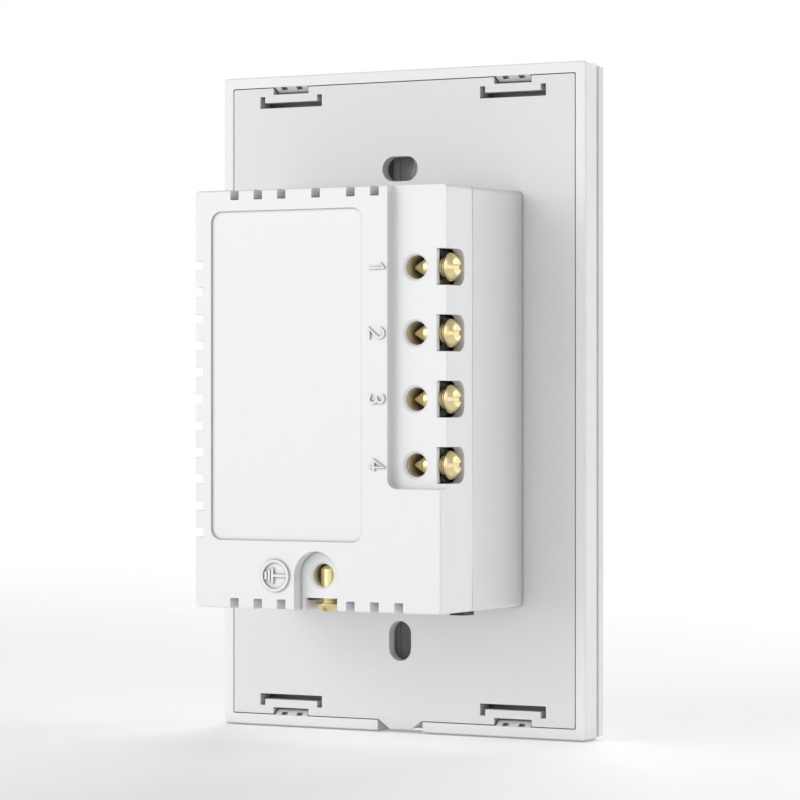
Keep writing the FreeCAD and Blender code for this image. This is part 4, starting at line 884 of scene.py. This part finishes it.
@dataclass
class RaisedNumbers:
    """The plain raised numbers beside the four wire entries, turned a quarter so that they read sideways."""

    paint: Paintbox
    height: float = 2.8 * MM
    line: float = 0.42 * MM
    relief: float = 0.37 * MM
    chamfer: float = 0.06 * MM
    sunk: float = 0.1 * MM
    middle_x: float = -12.05 * MM

    def stroke(self, made: bmesh.types.BMesh, points: list[Point]) -> None:
        """Raises one stroke, with a small chamfer round its top.

        Args:
            made: The mesh to add to.
            points: The stroke's middle line in metres.
        """
        half = self.line / 2
        levels = ((-self.sunk, half), (self.relief - self.chamfer, half), (self.relief, half - self.chamfer))
        rings = [[made.verts.new((x, y, level)) for x, y in ribbon(points, width)] for level, width in levels]
        for low, high in zip(rings, rings[1:]):
            for index in range(len(low)):
                after = (index + 1) % len(low)
                made.faces.new((low[index], low[after], high[after], high[index]))
        made.faces.new(rings[-1])

    def build(self) -> list[bpy.types.Object]:
        """Makes one number beside each wire entry.

        Returns:
            The four pieces.
        """
        pieces = []
        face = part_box("rear_cover")[1][1] - SIGN_RELIEF
        for name, digit in zip(SIDE_TERMINALS, Digit):
            low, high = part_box(f"terminal_{name}")
            middle_z = (low[2] + high[2]) / 2
            made = bmesh.new()
            for points in digit_strokes(digit):
                cell = [((x - 0.3) * self.height, (y - 0.5) * self.height) for x, y in points]
                self.stroke(made, cell)
            turn = Matrix(((0, -1, 0, self.middle_x), (0, 0, 1, face), (-1, 0, 0, middle_z), (0, 0, 0, 1)))
            piece = mesh_piece(f"number_{digit.value}", made, turn)
            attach(piece, "wall_unit")
            self.paint.dress(piece, "housing_white")
            pieces.append(piece)
        return pieces


@dataclass
class ClampScrew:
    """One slotted brass clamping screw with its thread, in place of the plain solid."""

    paint: Paintbox
    name: str
    direction: Direction
    tip_radius: float = 0.3 * MM
    tip_long: float = 2.3 * MM
    plain_end: float = 1.6 * MM
    top_radius: float = 1.45 * MM
    head_radius: float = 2.45 * MM
    head_thick: float = 1.5 * MM
    head_rim: float = 0.3 * MM
    rounding: float = 0.12 * MM
    outer_radius: float = 1.65 * MM
    root_radius: float = 1.5 * MM
    pitch: float = 0.5 * MM
    slot_wide: float = 0.8 * MM
    slot_deep: float = 0.8 * MM
    cutter_long: float = 8.0 * MM
    cutter_above: float = 1.0 * MM
    around: int = 56
    dome_steps: int = 8
    steps_a_turn: int = 10
    flank: float = 3.2
    crest_share: float = 1.6
    sharp_from: float = 28.0

    def radius_at(self, along: float, turn: float, long: float) -> float:
        """The thread's radius at one place.

        Args:
            along: Distance from the head's face.
            turn: Angle round the axis, 0 to 1.
            long: The screw's length.

        Returns:
            The radius in metres.
        """
        run_out = long - self.tip_long
        if along > run_out:
            share = (along - run_out) / self.tip_long
            return self.outer_radius + (self.tip_radius - self.outer_radius) * share
        phase = (along / self.pitch - turn) % 1.0
        crest = min(1.0, max(0.0, self.crest_share - self.flank * abs(phase - 0.5)))
        cut = min(1.0, max(0.0, (run_out - self.plain_end - along) / self.pitch + 1.0))
        return self.outer_radius - (self.outer_radius - self.root_radius) * (1.0 - crest) * cut

    def profile(self, long: float) -> list[tuple[float, float | None]]:
        """The rings from the head's face to the tip: place along the axis, and radius, or None for the thread.

        Args:
            long: The screw's length.

        Returns:
            The rings in order.
        """
        soft = self.rounding
        rim = self.head_thick - self.head_rim
        rings: list[tuple[float, float | None]] = [(0.0, self.top_radius - soft)]
        for step in range(1, self.dome_steps + 1):
            share = step / self.dome_steps
            swell = 0.5 * share + 0.5 * math.sin(share * math.pi / 2)
            rings.append((rim * share, self.top_radius + (self.head_radius - self.top_radius) * swell))
        rings += [(self.head_thick - soft, self.head_radius), (self.head_thick, self.head_radius - soft),
                  (self.head_thick, self.outer_radius)]
        steps = int((long - self.head_thick) / (self.pitch / self.steps_a_turn))
        rings += [(self.head_thick + (long - self.head_thick) * step / steps, None) for step in range(1, steps + 1)]
        return rings

    def turn_blank(self, long: float) -> bmesh.types.BMesh:
        """Turns the screw with its thread, without the driver's slot.

        Args:
            long: The screw's length.

        Returns:
            The mesh, with its head's face at 0 and its axis along X.
        """
        made = bmesh.new()
        last: list[bmesh.types.BMVert] = []
        for along, radius in self.profile(long):
            ring = []
            for step in range(self.around):
                turn = step / self.around
                reach = self.radius_at(along, turn, long) if radius is None else radius
                angle = math.tau * turn
                ring.append(made.verts.new((along, reach * math.cos(angle), reach * math.sin(angle))))
            if last:
                for index in range(self.around):
                    after = (index + 1) % self.around
                    made.faces.new((last[index], last[after], ring[after], ring[index]))
            else:
                made.faces.new(ring)
            last = ring
        made.faces.new(last)
        return made

    def build(self) -> bpy.types.Object:
        """Makes the screw where its solid is.

        Returns:
            The piece.
        """
        node = f"screw_{self.name}"
        low, high = (Vector(corner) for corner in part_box(node))
        middle = (low + high) / 2
        outward = Vector(self.direction.value)
        axis = 0 if self.direction is Direction.SIDE else 2
        face = middle.copy()
        face[axis] = low[axis]
        long = high[axis] - low[axis]
        inward = -outward
        side = Vector((0, 1, 0))
        third = inward.cross(side)
        place = Matrix((inward, side, third)).transposed().to_4x4()
        place.translation = face
        piece = mesh_piece(f"threaded_{node}", self.turn_blank(long), place)
        self.cut_slot(piece, place)
        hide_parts(node)
        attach(piece, f"clamp_screw_{self.name}")
        self.paint.dress(piece, "turned_brass")
        return piece

    def cut_slot(self, piece: bpy.types.Object, place: Matrix) -> None:
        """Cuts the driver's slot across the head.

        Args:
            piece: The turned screw.
            place: Where it is.
        """
        made = bmesh.new()
        bmesh.ops.create_cube(made, size=1.0)
        for vert in made.verts:
            vert.co.x = self.slot_deep if vert.co.x > 0 else -self.cutter_above
            vert.co.y *= self.cutter_long
            vert.co.z *= self.slot_wide
        cutter = mesh_piece("slot_cutter", made, place)
        change = piece.modifiers.new("slot", "BOOLEAN")
        change.operation = "DIFFERENCE"
        change.solver = "EXACT"
        change.object = cutter
        view = bpy.context.evaluated_depsgraph_get()
        cut = bpy.data.meshes.new_from_object(piece.evaluated_get(view))
        piece.modifiers.clear()
        piece.data = cut
        bpy.data.objects.remove(cutter)
        for face in cut.polygons:
            face.use_smooth = True
        cut.set_sharp_from_angle(angle=math.radians(self.sharp_from))


@dataclass
class Solids:
    """The model's own solids, each with the finish of its slot."""

    paint: Paintbox

    def build(self) -> list[bpy.types.Object]:
        """Dresses every node in its finish.

        Returns:
            The dressed nodes.
        """
        dressed = []
        for part in frame["record"]["subparts"]:
            piece = frame["nodes"][part["node"]]
            self.paint.dress(piece, part["material_slot"])
            dressed.append(piece)
        return dressed


@dataclass
class Studio:
    """A pale floor, soft lights and the camera at the photograph's view."""

    turn: float = 27.704
    distance: float = 0.6021
    eye: float = -0.000214
    lens: float = 149.454
    shift: float = 0.0027
    ambient: float = 0.08
    mirrored: float = 0.55
    floor_half: float = 0.8
    floor_drop: float = 0.0002
    floor_glow: float = 0.22
    fade_start: float = 0.15
    fade_end: float = 0.75

    def camera(self) -> bpy.types.Object:
        """Makes the camera, level and turned off the housing's axis.

        Returns:
            The camera.
        """
        data = bpy.data.cameras.new("photo_view")
        data.sensor_width = 36.0
        data.lens = self.lens
        data.shift_y = self.shift
        data.clip_start = 0.01
        camera = bpy.data.objects.new("photo_view", data)
        angle = math.radians(self.turn)
        way = Vector((-math.sin(angle), math.cos(angle), 0.0))
        camera.location = way * self.distance + Vector((0.0, 0.0, self.eye))
        camera.rotation_mode = "QUATERNION"
        camera.rotation_quaternion = (-way).to_track_quat("-Z", "Y")
        bpy.context.scene.collection.objects.link(camera)
        bpy.context.scene.camera = camera
        return camera

    def floor(self, low: float) -> bpy.types.Object:
        """Makes the pale floor under the object.

        Args:
            low: The floor's height.

        Returns:
            The floor.
        """
        made = bmesh.new()
        half = self.floor_half
        corners = [(-half, -half), (half, -half), (half, half), (-half, half)]
        made.faces.new([made.verts.new((x, y, 0.0)) for x, y in corners])
        floor = mesh_piece("floor", made, Matrix.Translation((0.0, 0.0, low)))
        material, w, shader = new_material("pale floor")
        skin = MOULDED_SKIN.place(w, {"Colour": (0.96, 0.96, 0.96), "Roughness": 0.8, "Grain Size": 0.01,
                                      "Flow": 0.01})
        w.feed(shader, "Base Color", skin.outputs["Colour"])
        w.feed(shader, "Roughness", skin.outputs["Roughness"])
        w.feed(shader, "Specular IOR Level", 0.1)
        w.feed(shader, "Emission Color", (1.0, 1.0, 1.0))
        w.feed(shader, "Emission Strength", self.floor_glow)
        place = w.add("ShaderNodeTexCoord").outputs["Object"]
        reach = w.add("ShaderNodeVectorMath", {"operation": "LENGTH"}, {0: place}).outputs["Value"]
        fade = w.add("ShaderNodeMapRange", {"interpolation_type": "SMOOTHERSTEP"},
                     {0: reach, 1: self.fade_start, 2: self.fade_end, 3: 1.0, 4: 0.0})
        w.feed(shader, "Alpha", fade.outputs[0])
        floor.data.materials.append(material)
        floor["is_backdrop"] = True
        return floor

    def lamp(self, name: str, at: Place, power: float, size: float) -> None:
        """Adds one soft square lamp that faces the object.

        Args:
            name: The lamp's name.
            at: Its place.
            power: Its power in watts.
            size: Its side.
        """
        data = bpy.data.lights.new(name, "AREA")
        data.energy = power
        data.size = size
        lamp = bpy.data.objects.new(name, data)
        lamp.visible_camera = False
        lamp.location = at
        lamp.rotation_mode = "QUATERNION"
        lamp.rotation_quaternion = (-Vector(at)).to_track_quat("-Z", "Y")
        bpy.context.scene.collection.objects.link(lamp)

    def build(self) -> None:
        """Sets up the whole studio."""
        scene = bpy.context.scene
        scene.view_settings.view_transform = "Standard"
        world = bpy.data.worlds.new("studio")
        world.use_nodes = True
        back = world.node_tree.nodes["Background"]
        w = Wiring(world.node_tree)
        ray = w.add("ShaderNodeLightPath").outputs
        w.feed(back, "Color", (1.0, 1.0, 1.0))
        mirrored = w.math("MULTIPLY_ADD", ray["Is Glossy Ray"], self.mirrored - self.ambient, self.ambient)
        w.feed(back, "Strength", w.math("MAXIMUM", ray["Is Camera Ray"], mirrored))
        scene.world = world
        self.camera()
        self.floor(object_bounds()[0][2] - self.floor_drop)
        self.lamp("main", (0.85, 0.95, 0.35), 8.5, 1.3)
        self.lamp("fill", (-0.1, 1.3, 0.3), 15.5, 2.4)
        self.lamp("side", (-0.75, -0.48, 0.22), 4.9, 0.9)
        self.lamp("front", (0.2, -1.2, 0.6), 9.0, 0.9)


def main() -> None:
    """Builds the pieces in order, dresses them and reports each one."""
    logging.basicConfig(level=logging.INFO, format="%(name)s: %(message)s")
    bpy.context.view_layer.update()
    paint = Paintbox()
    for piece in Solids(paint).build():
        log.info("dressed %s", piece.name)
    for name in SIDE_TERMINALS:
        log.info("made %s", ClampScrew(paint, name, Direction.SIDE).build().name)
    earth = ClampScrew(paint, "earth", Direction.DOWN, tip_radius=1.0 * MM, tip_long=0.6 * MM, plain_end=3.6 * MM)
    log.info("made %s", earth.build().name)
    for piece in RaisedNumbers(paint).build():
        log.info("made %s", piece.name)
    Studio().build()


if __name__ == "__main__":
    main()
